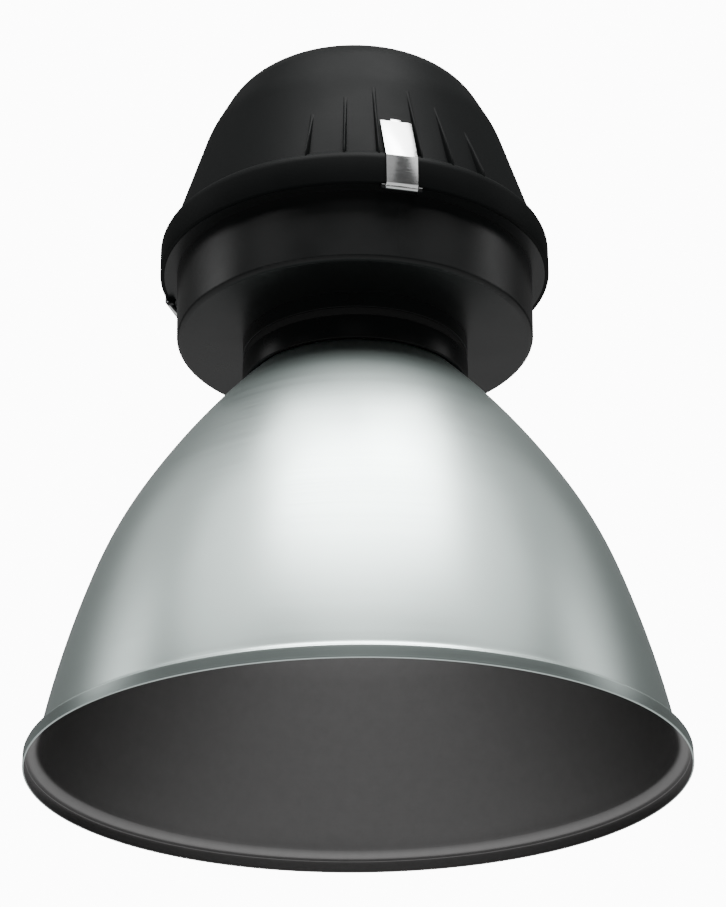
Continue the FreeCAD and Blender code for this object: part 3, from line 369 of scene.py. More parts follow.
def spun_aluminium(name, color, roughness, inside):
    """Satin anodised spun sheet with fine rings from the spinning tool.

    The sheet's inner side, marked by the mesh, has its own untinted colour, darkened as painted shade,
    and is a little mottled.
    """
    material, tree, surface = shader(name, color, 1.0, roughness)
    cloud = object_noise(tree, 22.0, detail=5.0)
    outer = mixed(tree, cloud, [c * 0.95 for c in color], color)
    # Inner colour: a random mottle round a dark tone that is painted shade.
    shaded_mottle = mixed(tree, object_noise(tree, 95.0, detail=4.0, rough=0.7),
                    [c * 0.9 for c in inside], [c * 1.06 for c in inside])
    inward = node(tree, "ShaderNodeAttribute", attribute_name="inward")
    coat = mixed(tree, inward.outputs["Fac"], outer, shaded_mottle)
    tree.links.new(coat, surface.inputs["Base Color"])
    coords = node(tree, "ShaderNodeUVMap")
    mapping = node(tree, "ShaderNodeMapping")
    mapping.inputs["Scale"].default_value = (1.5, 1400.0, 1.0)
    rings = node(tree, "ShaderNodeTexNoise", noise_dimensions="2D", in__Scale=1.0, in__Detail=2.0)
    tree.links.new(coords.outputs["UV"], mapping.inputs["Vector"])
    tree.links.new(mapping.outputs["Vector"], rings.inputs["Vector"])
    tree.links.new(spread(tree, rings.outputs["Fac"], roughness - 0.03, roughness + 0.03),
                   surface.inputs["Roughness"])
    bumped(tree, surface, rings.outputs["Fac"], 0.00001, 0.25)
    return material


def drawn_metal(name, color, roughness, stretch, grain=300.0, depth=0.00002):
    """Bright metal with lines along one direction, or with an even grain."""
    material, tree, surface = shader(name, color, 1.0, roughness)
    lines = object_noise(tree, grain, detail=3.0, stretch=stretch)
    tinted(tree, surface, lines, [c * 0.9 for c in color], color)
    tree.links.new(spread(tree, lines, roughness - 0.05, roughness + 0.07), surface.inputs["Roughness"])
    bumped(tree, surface, lines, depth, 0.6)
    return material


def moulded(name, color, roughness, grain=500.0):
    """Moulded plastic, rubber or resin with a fine texture."""
    material, tree, surface = shader(name, color, 0.0, roughness)
    skin = object_noise(tree, grain, detail=2.0)
    drift = object_noise(tree, 25.0, detail=3.0)
    tinted(tree, surface, drift, [c * 0.88 for c in color], color)
    tree.links.new(spread(tree, drift, roughness - 0.04, roughness + 0.06), surface.inputs["Roughness"])
    bumped(tree, surface, skin, 0.00003, 0.7)
    return material


def glazed(name, color):
    """Porcelain or opal glass under a clear gloss."""
    material, tree, surface = shader(name, color, 0.0, 0.35)
    surface.inputs["Coat Weight"].default_value = 0.8
    surface.inputs["Coat Roughness"].default_value = 0.06
    surface.inputs["Subsurface Weight"].default_value = 0.08
    surface.inputs["Subsurface Radius"].default_value = (0.004, 0.003, 0.002)
    clouds = object_noise(tree, 40.0, detail=2.0)
    tinted(tree, surface, clouds, [c * 0.95 for c in color], color)
    bumped(tree, surface, object_noise(tree, 120.0, detail=1.0), 0.00004, 0.3)
    return material


def stacked_sheets(name, color):
    """Varnished core of thin sheets on edge."""
    material, tree, surface = shader(name, color, 0.3, 0.5)
    coords = node(tree, "ShaderNodeTexCoord")
    wave = node(tree, "ShaderNodeTexWave", wave_type="BANDS", bands_direction="X")
    wave.inputs["Scale"].default_value = 320.0
    tree.links.new(coords.outputs["Object"], wave.inputs["Vector"])
    tinted(tree, surface, wave.outputs["Fac"], [c * 0.5 for c in color], color)
    bumped(tree, surface, wave.outputs["Fac"], 0.0001)
    return material


def wound_coil(name, color):
    """Wound wire under resin."""
    material, tree, surface = shader(name, color, 0.0, 0.3)
    surface.inputs["Coat Weight"].default_value = 0.5
    coords = node(tree, "ShaderNodeTexCoord")
    wave = node(tree, "ShaderNodeTexWave", wave_type="BANDS", bands_direction="Z")
    wave.inputs["Scale"].default_value = 260.0
    wave.inputs["Distortion"].default_value = 0.6
    tree.links.new(coords.outputs["Object"], wave.inputs["Vector"])
    tinted(tree, surface, wave.outputs["Fac"], [c * 0.45 for c in color], color)
    bumped(tree, surface, wave.outputs["Fac"], 0.0003)
    return material


def finishes(colors):
    """Every finish of the light by the record's slot name, and the bowl's own coat."""
    black = tuple(colors.powder_black)
    metal = tuple(colors.reflector_metal)
    return {
        "black_cast": powder_black("black_powder_coat", black, colors.coat_roughness, 0.00004, 0.04),
        "bowl": powder_black("black_bowl_coat", black, 0.32, 0.00002, 0.3),
        "black_neck": powder_black("black_satin_paint", black, 0.3, 0.00001, 0.16),
        # The reflector's inside colour is darkened as painted shade.
        "spun_aluminium": spun_aluminium("spun_aluminium", metal, colors.reflector_roughness,
                                         tuple(colors.reflector_shaded_inside)),
        "clip_steel": drawn_metal(
            "bright_spring_steel", tuple(colors.clip_metal), 0.16, (0.3, 0.3, 3.0)),
        "zinc_steel": drawn_metal(
            "zinc_plate", (0.62, 0.64, 0.66), 0.34, (1.0, 1.0, 1.0), 90.0, 0.00001),
        "black_rubber": moulded("black_rubber", (0.004, 0.004, 0.004), 0.8, 700.0),
        "porcelain": glazed("glazed_porcelain", (0.8, 0.79, 0.74)),
        "brass": drawn_metal("turned_brass", (0.72, 0.53, 0.24), 0.3, (1.0, 1.0, 8.0)),
        "bulb_glass": glazed("opal_glass", (0.86, 0.86, 0.84)),
        "core_steel": stacked_sheets("core_sheets", (0.07, 0.065, 0.06)),
        "coil_resin": wound_coil("coil_under_resin", (0.32, 0.1, 0.035)),
        "can_aluminium": drawn_metal("drawn_can", (0.76, 0.77, 0.78), 0.36, (1.0, 1.0, 0.1)),
        "ignitor_plastic": moulded("pale_grey_case", (0.5, 0.5, 0.48), 0.5),
        "terminal_plastic": moulded("terminal_plastic", (0.72, 0.7, 0.62), 0.4),
        "gland_plastic": moulded("black_nylon", (0.014, 0.014, 0.015), 0.5),
        "eye_steel": drawn_metal(
            "forged_zinc_plate", (0.6, 0.61, 0.62), 0.4, (1.0, 1.0, 1.0), 160.0, 0.00006),
    }


# Filled by the finishes operator, with what finishes() returns.
FINISH = {}


# ---------------------------------------------------------------- repeats

class Growth:
    """A geometry nodes tree under construction, with short ways to add its nodes."""

    def __init__(self, name):
        self.tree = bpy.data.node_groups.new(name, "GeometryNodeTree")
        self.tree.is_modifier = True
        self.tree.interface.new_socket("Geometry", in_out="INPUT", socket_type="NodeSocketGeometry")
        self.tree.interface.new_socket("Geometry", in_out="OUTPUT", socket_type="NodeSocketGeometry")
        self.start = self.tree.nodes.new("NodeGroupInput")
        self.end = self.tree.nodes.new("NodeGroupOutput")

    def size(self, name, kind="NodeSocketFloat"):
        """Adds a named input and returns its socket."""
        self.tree.interface.new_socket(name, in_out="INPUT", socket_type=kind)
        return self.start.outputs[name]

    def add(self, kind, *sources, **settings):
        """Adds a node and fills its inputs in order; None leaves an input as it is."""
        made = self.tree.nodes.new(kind)
        for key, value in settings.items():
            setattr(made, key, value)
        for socket, source in zip(made.inputs, sources):
            if source is None:
                continue
            if isinstance(source, bpy.types.NodeSocket):
                self.tree.links.new(source, socket)
            else:
                socket.default_value = source
        return made

    def math(self, operation, *sources):
        """Adds a maths node and returns its result."""
        return self.add("ShaderNodeMath", *sources, operation=operation).outputs[0]

    def finish(self, geometry, material):
        """Ends the tree in Realize Instances and Set Material."""
        real = self.add("GeometryNodeRealizeInstances", geometry)
        coat = self.add("GeometryNodeSetMaterial", real.outputs[0])
        self.tree.links.new(material, coat.inputs["Material"])
        self.tree.links.new(coat.outputs[0], self.end.inputs[0])
        return self.tree


def grown(piece, tree, values):
    """Runs a tree on a piece with its inputs set by name, and keeps the result as a mesh."""
    growth = piece.modifiers.new("growth", "NODES")
    growth.node_group = tree
    sockets = {item.name: item.identifier for item in tree.interface.items_tree
               if item.item_type == "SOCKET" and item.in_out == "INPUT"}
    for name, value in values.items():
        growth[sockets[name]] = value
    return settled(piece)


def rib_rows():
    """Tree that sets pairs of fins either side of the front, each pair lower than the last.

    The fin comes in as (distance out of the wall, across, share of its height).
    """
    g = Growth("ribs beside the clip")
    radius, crease, lean = (g.size(n) for n in ("Crease radius", "Crease height", "Wall lean"))
    turn, turn_step, turn_growth = (
        g.size(n) for n in ("First turn", "Turn step", "Turn growth"))
    height, height_step, height_growth = (
        g.size(n) for n in ("First height", "Height step", "Height growth"))
    finish = g.size("Rib finish", "NodeSocketMaterial")
    spots = g.add("GeometryNodeMeshLine", count_mode="TOTAL", mode="OFFSET")
    spots.inputs["Count"].default_value = 6
    spots.inputs["Offset"].default_value = (0, 0, 0)
    fins = g.add("GeometryNodeInstanceOnPoints", spots.outputs[0], None, g.start.outputs[0])
    number = g.tree.nodes.new("GeometryNodeInputIndex").outputs[0]
    kept = g.add("GeometryNodeStoreNamedAttribute", fins.outputs[0], None, "fin", number,
                 data_type="FLOAT", domain="INSTANCE")
    real = g.add("GeometryNodeRealizeInstances", kept.outputs[0])
    named = g.add("GeometryNodeInputNamedAttribute", "fin", data_type="FLOAT").outputs[0]
    row = g.math("FLOOR", g.math("DIVIDE", named, 2.0))
    side = g.math("SUBTRACT", g.math("MULTIPLY", g.math("MODULO", named, 2.0), 2.0), 1.0)
    pairs = g.math("MULTIPLY", row, g.math("SUBTRACT", row, 1.0))

    def rule(first, step, growth):
        return g.math("ADD", first, g.math(
            "ADD", g.math("MULTIPLY", row, step), g.math("MULTIPLY", pairs, growth)))

    around = g.math("ADD", g.math("MULTIPLY", side, rule(turn, turn_step, turn_growth)), FRONT)
    tall = rule(height, height_step, height_growth)
    where = g.add("ShaderNodeSeparateXYZ", g.tree.nodes.new("GeometryNodeInputPosition").outputs[0])
    out, across, share = where.outputs
    rise = g.math("ADD", g.math("MULTIPLY", g.math("MAXIMUM", share, 0.0), tall),
                  g.math("MINIMUM", share, 0.0))
    wall = g.math("SUBTRACT", radius, g.math("MULTIPLY", lean, g.math("MAXIMUM", rise, 0.0)))
    place = g.add("ShaderNodeCombineXYZ", g.math("ADD", wall, out), across,
                  g.math("ADD", crease, rise)).outputs[0]
    turned = g.add("ShaderNodeVectorRotate", place, rotation_type="Z_AXIS")
    g.tree.links.new(around, turned.inputs["Angle"])
    moved = g.add("GeometryNodeSetPosition", real.outputs[0])
    g.tree.links.new(turned.outputs[0], moved.inputs["Position"])
    return g.finish(moved.outputs[0], finish)


def ring_of(name):
    """Tree that sets copies of a shape evenly round an upright axis."""
    g = Growth(name)
    count = g.size("Count", "NodeSocketInt")
    x, y = g.size("Centre X"), g.size("Centre Y")
    finish = g.size("Finish", "NodeSocketMaterial")
    spots = g.add("GeometryNodeMeshLine", count_mode="TOTAL", mode="OFFSET")
    g.tree.links.new(count, spots.inputs["Count"])
    spots.inputs["Offset"].default_value = (0, 0, 0)
    number = g.tree.nodes.new("GeometryNodeInputIndex").outputs[0]
    angle = g.math("DIVIDE", g.math("MULTIPLY", number, TURN), count)
    turn = g.add("ShaderNodeCombineXYZ", 0.0, 0.0, angle).outputs[0]
    copies = g.add("GeometryNodeInstanceOnPoints", spots.outputs[0], None, g.start.outputs[0])
    g.tree.links.new(turn, copies.inputs["Rotation"])
    centre = g.add("ShaderNodeCombineXYZ", x, y, 0.0).outputs[0]
    moved = g.add("GeometryNodeTransform", copies.outputs[0])
    g.tree.links.new(centre, moved.inputs["Translation"])
    return g.finish(moved.outputs[0], finish)


# ---------------------------------------------------------------- what a user would change

class LightSizes(bpy.types.PropertyGroup):
    """Sizes of the pieces that are made here, as the frame has them."""

    sheet: bpy.props.FloatProperty(
        name="Reflector sheet", description="Thickness of the reflector's sheet",
        default=1.5 * MM, unit="LENGTH")
    rib_width: bpy.props.FloatProperty(
        name="Rib width", description="Thickness of a rib on the dome",
        default=2.8 * MM, unit="LENGTH")
    rib_proud: bpy.props.FloatProperty(
        name="Rib height", description="How far a rib stands out at its foot",
        default=6.0 * MM, unit="LENGTH")
    clip_width: bpy.props.FloatProperty(
        name="Clip width", description="Width of a spring clip",
        default=24.4 * MM, unit="LENGTH")


class LightColours(bpy.types.PropertyGroup):
    """Colours and gloss of the visible finishes."""

    powder_black: bpy.props.FloatVectorProperty(
        name="Powder coat", description="Colour of the black housing",
        subtype="COLOR", default=(0.006, 0.0067, 0.0067), min=0.0, max=1.0)
    coat_roughness: bpy.props.FloatProperty(
        name="Powder coat roughness", description="How matt the housing is",
        default=0.48, min=0.0, max=1.0)
    reflector_metal: bpy.props.FloatVectorProperty(
        name="Reflector", description="Colour of the anodised sheet",
        subtype="COLOR", default=(0.74, 0.85, 0.82), min=0.0, max=1.0)
    # The inside colour is the inner side's untinted tone, darkened as painted shade.
    reflector_shaded_inside: bpy.props.FloatVectorProperty(
        name="Reflector inside", description="Colour of the etched inner side",
        subtype="COLOR", default=(0.245, 0.242, 0.242), min=0.0, max=1.0)
    reflector_roughness: bpy.props.FloatProperty(
        name="Reflector roughness", description="How satin the sheet is",
        default=0.33, min=0.0, max=1.0)
    clip_metal: bpy.props.FloatVectorProperty(
        name="Clips", description="Colour of the spring steel",
        subtype="COLOR", default=(0.85, 0.86, 0.86), min=0.0, max=1.0)


def part_sizes(context):
    """Sizes as set in the sidebar."""
    return context.scene.high_bay_sizes


# ---------------------------------------------------------------- pieces

class HIGHBAY_OT_finishes(bpy.types.Operator):
    """Make the finishes and give every piece of the frame its own"""

    bl_idname = "highbay.finishes"
    bl_label = "Finishes"

    def execute(self, context):
        FINISH.update(finishes(context.scene.high_bay_colours))
        for part in frame["record"]["subparts"]:
            piece = frame["nodes"][part["node"]]
            piece.data.materials.clear()
            piece.data.materials.append(FINISH[part["material_slot"]])
        frame["nodes"]["gear_bowl"].data.materials[0] = FINISH["bowl"]
        return {"FINISHED"}


class HIGHBAY_OT_reflector(bpy.types.Operator):
    """Spin the reflector: bell, rounded root, turned-down lip and flat top"""

    bl_idname = "highbay.reflector"
    bl_label = "Reflector"

    def execute(self, context):
        sheet = part_sizes(context).sheet
        low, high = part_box("reflector")
        rim, top = high.x, high.z
        drop, root, mouth = 10.5 * MM, 6.5 * MM, 235.9 * MM
        neck, inside, round_off = 80.3 * MM, 60.0 * MM, 2.0 * MM
        bend = math.radians(6)
        spans = ((145.5 * MM, 814 * MM), (209 * MM, 356 * MM), (top, 615 * MM))
        bell = bell_line((mouth, drop), (neck, top), spans)
        lip = rounded([(rim, low.z + 0.4 * MM), (rim, drop, round_off),
                       (mouth, drop, root), tuple(bell[4])], closed=False, step=bend)[:-1]
        start = next(i for i, p in enumerate(bell) if p.y > lip[-1].y + 0.5 * MM)
        shoulder = rounded([tuple(bell[-4]), (neck, top, 3.0 * MM), (inside, top)],
                           closed=False, step=bend)
        outside = lip + bell[start:-3] + shoulder[1:]
        inner = offset(outside, -sheet)
        inner[0].y = inner[1].y = outside[0].y
        outline = outside + list(reversed(inner))
        edge = [Vector((rim - sheet * 0.8, low.z)), Vector((rim - sheet * 0.2, low.z))]
        piece = spun("spun_reflector", outline + edge, 224)
        # Marks the inner faces, which take the darker inside colour, a painted shade.
        inward = piece.data.attributes.new("inward", "FLOAT", "FACE")
        for face in piece.data.polygons:
            facing = face.normal.x * face.center.x + face.normal.y * face.center.y
            under_top = face.center.z > top - 2 * sheet and face.normal.z < -0.5
            inward.data[face.index].value = float(facing < 0 or under_top)
        finished(piece, "light", FINISH["spun_aluminium"], "spun_aluminium", "reflector")
        return {"FINISHED"}


class HIGHBAY_OT_neck(bpy.types.Operator):
    """Turn the two neck rings and the gasket between them"""

    bl_idname = "highbay.neck"
    bl_label = "Neck"

    def execute(self, context):
        edge, thick, bore = 0.6 * MM, 3.0 * MM, 60.0 * MM
        flange, seal = 3.5 * MM, 2.5 * MM
        for name, source, slot in (
                ("neck_collar", "reflector_collar", "black_neck"),
                ("neck_seal", "neck_gasket", "black_rubber"),
                ("neck_upper_ring", "neck_spacer", "black_neck")):
            low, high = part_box(source)
            wall = high.x - thick
            if source == "reflector_collar":
                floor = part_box("reflector")[1].z
                outline = [(bore, floor, edge), (wall, floor), (wall, low.z), (high.x, low.z, edge),
                           (high.x, high.z, edge), (wall, high.z), (wall, floor + flange),
                           (bore, floor + flange, edge)]
            elif source == "neck_spacer":
                outline = [(bore, high.z - thick, edge), (wall, high.z - thick), (wall, low.z),
                           (high.x, low.z, edge), (high.x, high.z), (bore, high.z)]
            else:
                outline = [(high.x - seal, low.z), (high.x, low.z, 0.8 * MM),
                           (high.x, high.z, 0.8 * MM), (high.x - seal, high.z)]
            piece = spun(name, rounded(outline), 144)
            finished(piece, "light", FINISH[slot], slot, source)
        return {"FINISHED"}


class HIGHBAY_OT_dome(bpy.types.Operator):
    """Cast the dome cover: ring band, leaning wall, crown, catches and ribs"""

    bl_idname = "highbay.dome"
    bl_label = "Dome cover"

    def execute(self, context):
        sizes = part_sizes(context)
        low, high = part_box("dome_cover")
        ring, base, top = high.x, low.z, high.z
        wall, band, foot_round = 3.0 * MM, 20.9 * MM, 0.9 * MM
        shoulder = arc((ring, base + band), CREASE, 10 * MM, 10)
        outside = [Vector((ring, base + foot_round))] + shoulder
        outside += rounded([CREASE, (*BREAK, 110 * MM), (90 * MM, top, 54 * MM), (0.0, top)],
                           closed=False, step=math.radians(2.5))[1:]
        inner = [Vector((max(p.x, 0.0), p.y)) for p in offset(outside, -wall)]
        inner[0] = Vector((ring - wall, base))
        inner[-1] = Vector((0.0, top - wall))
        foot = [Vector((ring - foot_round, base)), Vector((ring - 0.25 * MM, base + 0.25 * MM))]
        piece = spun("cast_dome", outside + list(reversed(inner)) + foot, 192)
        for other in (self.ribs(sizes), self.catches()):
            joined(piece, other)
        finished(piece, "light", FINISH["black_cast"], "black_cast", "dome_cover")
        return {"FINISHED"}

    def ribs(self, sizes):
        """Six fins, three each side of the first clip, from one fin and the rule for its place."""
        bm = bmesh.new()
        half, rows = sizes.rib_width / 2, 14
        levels = [-6.7 * MM, -2.0 * MM] + [i / rows for i in range(rows + 1)]
        section = [(-1.5 * MM, -1.0), (0.0, -1.0), (0.6, -0.8), (0.88, -0.56), (1.0, -0.2),
                   (1.0, 0.2), (0.88, 0.56), (0.6, 0.8), (0.0, 1.0), (-1.5 * MM, 1.0)]
        rings = []
        for level in levels:
            proud = sizes.rib_proud * min(1.0, 1.0 - level)
            rings.append([bm.verts.new((out if out < 0 else out * proud, side * half, level))
                          for out, side in section])
        for a, b in zip(rings, rings[1:]):
            for i in range(len(section)):
                n = (i + 1) % len(section)
                bm.faces.new((a[i], a[n], b[n], b[i]))
        bm.faces.new(list(reversed(rings[0])))
        bm.faces.new(rings[-1])
        fin = from_bmesh("ribs", bm)
        return grown(fin, rib_rows(), {
            "Crease radius": CREASE[0], "Crease height": CREASE[1], "Wall lean": WALL_LEAN,
            "First turn": math.radians(6.25), "Turn step": math.radians(9.95),
            "Turn growth": math.radians(0.525), "First height": 72.3 * MM,
            "Height step": -11.5 * MM, "Height growth": -2.55 * MM,
            "Rib finish": FINISH["black_cast"]})

    def catches(self):
        """A low pad under each clip's end."""
        bm = bmesh.new()
        clip_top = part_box("clip_1")[1].z - 2.4 * MM
        low, high = clip_top - 14 * MM, clip_top - 4 * MM
        proud, root, width = 0.7 * MM, -1.5 * MM, 18 * MM
        for index in range(3):
            spots = [(CREASE[0] - (z - CREASE[1]) * WALL_LEAN + out, z)
                     for z, out in ((low, proud), (high, proud), (high, root), (low, root))]
            pushed(bm, spots, width, FRONT + index * THIRD)
        return from_bmesh("catches", bm)


class HIGHBAY_OT_clips(bpy.types.Operator):
    """Bend the three spring clips round their pins"""

    bl_idname = "highbay.clips"
    bl_label = "Spring clips"

    def execute(self, context):
        sizes = part_sizes(context)
        thick, lean, arm = 1.1 * MM, math.radians(23.5), 44.4 * MM
        ring_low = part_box("dome_cover")[0].z
        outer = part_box("dome_cover")[1].x + 0.3 * MM + thick
        bend = ring_low + 24 * MM
        pin, roll = (152.4 * MM, 410.55 * MM), 1.95 * MM
        end = (outer - arm * math.sin(lean), bend + arm * math.cos(lean))
        back = (-math.cos(lean) * thick, -math.sin(lean) * thick)
        for index in range(3):
            bm = bmesh.new()
            strip = rounded([
                (outer - thick, ring_low - 0.3 * MM),
                (outer - thick, bend - thick * math.tan(lean / 2), 1.2 * MM),
                (end[0] + back[0], end[1] + back[1], 0.3 * MM), (*end, 0.5 * MM),
                (outer, bend, 2.3 * MM), (outer, pin[1] + roll, 0.6 * MM),
                (pin[0] + roll - thick / 2, pin[1]), (pin[0], pin[1] + roll - thick / 2)])
            turn = FRONT + index * THIRD
            pushed(bm, strip, sizes.clip_width, turn)
            tab_low, tab_high, tab_width = -1.0 * MM, 2.6 * MM, 8 * MM
            spots = [(end[0] + b * back[0] - t * math.sin(lean),
                      end[1] + b * back[1] + t * math.cos(lean))
                     for b, t in ((1, tab_low), (0, tab_low), (0, tab_high), (1, tab_high))]
            pushed(bm, spots, tab_width, turn)
            sides = 28
            curl = [(pin[0] + roll * math.cos(TURN * k / sides),
                     pin[1] + roll * math.sin(TURN * k / sides)) for k in range(sides)]
            pushed(bm, curl, sizes.clip_width, turn)
            piece = bevelled(from_bmesh(f"spring_clip_{index + 1}", bm), 0.22 * MM, 2)
            finished(piece, f"clip_{index + 1}", FINISH["clip_steel"], "clip_steel",
                     f"clip_{index + 1}")
        return {"FINISHED"}


class HIGHBAY_OT_lamp(bpy.types.Operator):
    """Blow the lamp's bulb and turn the porcelain lampholder"""

    bl_idname = "highbay.lamp"
    bl_label = "Lamp"

    def execute(self, context):
        low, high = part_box("lamp_bulb")
        neck, wide, foot = high.z - 16 * MM, high.z - 112 * MM, low.z
        neck_r, growth, widest = 17.5 * MM, 27.5 * MM, 45 * MM
        bulb = [Vector((0.0, high.z)), Vector((neck_r, high.z)), Vector((neck_r, neck))]
        side, cap = 40, 32
        for i in range(1, side + 1):
            share = i / side
            swell = 0.5 - 0.5 * math.cos(math.pi * min(1.0, share ** 0.72))
            bulb.append(Vector((neck_r + growth * swell, neck - (neck - wide) * share)))
        for i in range(1, cap + 1):
            at = math.pi / 2 * i / cap
            bulb.append(Vector((widest * math.cos(at) ** 0.92 if i < cap else 0.0,
                                wide - (wide - foot) * math.sin(at))))
        glass = spun("opal_bulb", list(reversed(bulb)), 96, 60.0)
        finished(glass, "light", FINISH["bulb_glass"], "bulb_glass", "lamp_bulb")
        holder_low, holder_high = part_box("lampholder_body")
        top, base, wall, bore = holder_high.z, holder_low.z, holder_high.x, 21 * MM
        outline = [(0.0, top), (24 * MM, top, 3 * MM), (wall, top - 9 * MM, 4 * MM),
                   (wall, base + 26 * MM, 1 * MM), (wall - 1.6 * MM, base + 25 * MM, 1 * MM),
                   (wall - 1.6 * MM, base + 22 * MM, 1 * MM), (wall, base + 21 * MM, 1 * MM),
                   (wall, base + 3 * MM, 2 * MM), (wall - 3 * MM, base, 1.5 * MM),
                   (bore, base, 1 * MM), (bore, top - 17 * MM, 1 * MM), (0.0, top - 17 * MM)]
        holder = spun("glazed_lampholder", rounded(outline), 96)
        finished(holder, "light", FINISH["porcelain"], "porcelain", "lampholder_body")
        return {"FINISHED"}


class HIGHBAY_OT_fittings(bpy.types.Operator):
    """Forge the hanging eye and mould the cable gland's cap"""

    bl_idname = "highbay.fittings"
    bl_label = "Eye and gland"

    def execute(self, context):
        self.eye()
        self.gland_cap()
        return {"FINISHED"}

    def eye(self):
        """Ring of a slightly squared section, on a collar and a shank."""
        low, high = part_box("suspension_eye")
        outer, bore, half = 17.5 * MM, 9.5 * MM, 5 * MM
        middle = high.z - outer
        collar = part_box("eye_washer")[1].z
        bm = bmesh.new()
        ring_r, tube = (outer + bore) / 2, (outer - bore) / 2
        turns, sides = 64, 20
        rings = []
        for k in range(turns):
            a = TURN * k / turns
            ring = []
            for j in range(sides):
                b = TURN * j / sides
                out = ring_r + tube * math.cos(b)
                across = half * math.copysign(abs(math.sin(b)) ** 0.8, math.sin(b))
                ring.append(bm.verts.new((out * math.cos(a), across, middle + out * math.sin(a))))
            rings.append(ring)
        for a, b in zip(rings, rings[1:] + rings[:1]):
            for j in range(sides):
                n = (j + 1) % sides
                bm.faces.new((a[j], b[j], b[n], a[n]))
        shank = rounded([
            (0.0, low.z), (5.2 * MM, low.z), (6.0 * MM, low.z + 0.8 * MM), (6.0 * MM, collar),
            (16 * MM, collar, 0.5 * MM), (16 * MM, collar + 2 * MM, 0.8 * MM),
            (7 * MM, collar + 4 * MM, 2 * MM), (6.4 * MM, middle - bore - 4 * MM),
            (0.0, middle - bore - 4 * MM)])
        spin(bm, shank, 64)
        piece = from_bmesh("forged_eye", bm, 40.0)
        finished(piece, "light", FINISH["eye_steel"], "eye_steel", "suspension_eye")

    def gland_cap(self):
        """Cap nut with a domed end, and grips round it from one grip."""
        low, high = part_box("gland_nut")
        centre = (low + high) / 2
        wall, bore = (high.x - low.x) / 2, 6.5 * MM
        inner = 11.1 * MM
        outline = rounded([
            (inner, low.z), (wall, low.z, 0.6 * MM), (wall, high.z - 4 * MM, 3 * MM),
            (wall - 4.5 * MM, high.z, 1.4 * MM), (bore, high.z, 0.5 * MM),
            (bore, high.z - 4 * MM), (inner, high.z - 4 * MM)])
        bm = bmesh.new()
        spin(bm, outline, 64)
        bmesh.ops.translate(bm, verts=bm.verts, vec=(centre.x, centre.y, 0))
        cap = from_bmesh("gland_cap", bm)
        grip = bmesh.new()
        root, proud = wall - 0.4 * MM, wall + 0.5 * MM
        spots = rounded([
            (root, low.z + 1.2 * MM), (proud, low.z + 1.8 * MM, 0.3 * MM),
            (proud, high.z - 5.5 * MM, 0.3 * MM), (root, high.z - 4.2 * MM)])
        pushed(grip, spots, 1.1 * MM)
        grips = grown(from_bmesh("grips", grip), ring_of("gland grips"), {
            "Count": 20, "Centre X": centre.x, "Centre Y": centre.y,
            "Finish": FINISH["gland_plastic"]})
        joined(cap, grips)
        finished(cap, "light", FINISH["gland_plastic"], "gland_plastic", "gland_nut")


class HIGHBAY_OT_screws(bpy.types.Operator):
    """Turn the tie screws whose heads show inside the reflector"""

    bl_idname = "highbay.screws"
    bl_label = "Tie screws"

    def execute(self, context):
        low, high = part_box("tie_screws")
        place, head, shank, seat = 70 * MM, 4.5 * MM, 2.5 * MM, low.z + 3.2 * MM
        bm = bmesh.new()
        outline = rounded([
            (0.0, high.z), (2.1 * MM, high.z), (shank, high.z - 0.4 * MM), (shank, seat),
            (head, seat, 0.3 * MM), (head, low.z + 0.9 * MM, 1.6 * MM),
            (head - 1.6 * MM, low.z, 0.5 * MM), (2.6 * MM, low.z), (2.2 * MM, low.z + 1.6 * MM),
            (0.0, low.z + 1.9 * MM)])
        spin(bm, outline, 40)
        bmesh.ops.translate(bm, verts=bm.verts, vec=(0, place, 0))
        piece = from_bmesh("tie_screw_heads", bm)
        grown(piece, ring_of("tie screws"), {
            "Count": 3, "Centre X": 0.0, "Centre Y": 0.0, "Finish": FINISH["zinc_steel"]})
        finished(piece, "light", FINISH["zinc_steel"], "zinc_steel", "tie_screws")
        return {"FINISHED"}


# The camera's turn about the axis, away from the first clip.
AROUND = math.radians(-13.5)

# Soft oval panels: name, turn from the camera and lift in degrees, brightness, and
# half width and half height in metres.
PANELS = (
    ("overhead", 4, 64, 12.0, 1.45, 0.78),
    ("over_right", 64, 76, 8.0, 0.6, 0.6),
    ("over_left", 296, 76, 5.0, 0.6, 0.6),
    ("high_right", 56, 46, 1.2, 0.9, 0.9),
    ("high_left", 304, 46, 1.5, 0.9, 0.9),
    ("high_front", 0, 40, 0.3, 0.9, 0.9),
    ("side_right", 98, 42, 0.42, 1.1, 1.1),
    ("side_left", 262, 42, 0.55, 1.1, 1.1),
    ("back_right", 140, 34, 0.07, 1.3, 1.3),
    ("back_left", 220, 34, 0.1, 1.3, 1.3),
    ("right", 94, 25, 1.3, 0.45, 0.6),
    ("left", 266, 25, 1.5, 0.45, 0.6),
    ("high_back", 180, 64, 0.35, 1.2, 1.2),
)


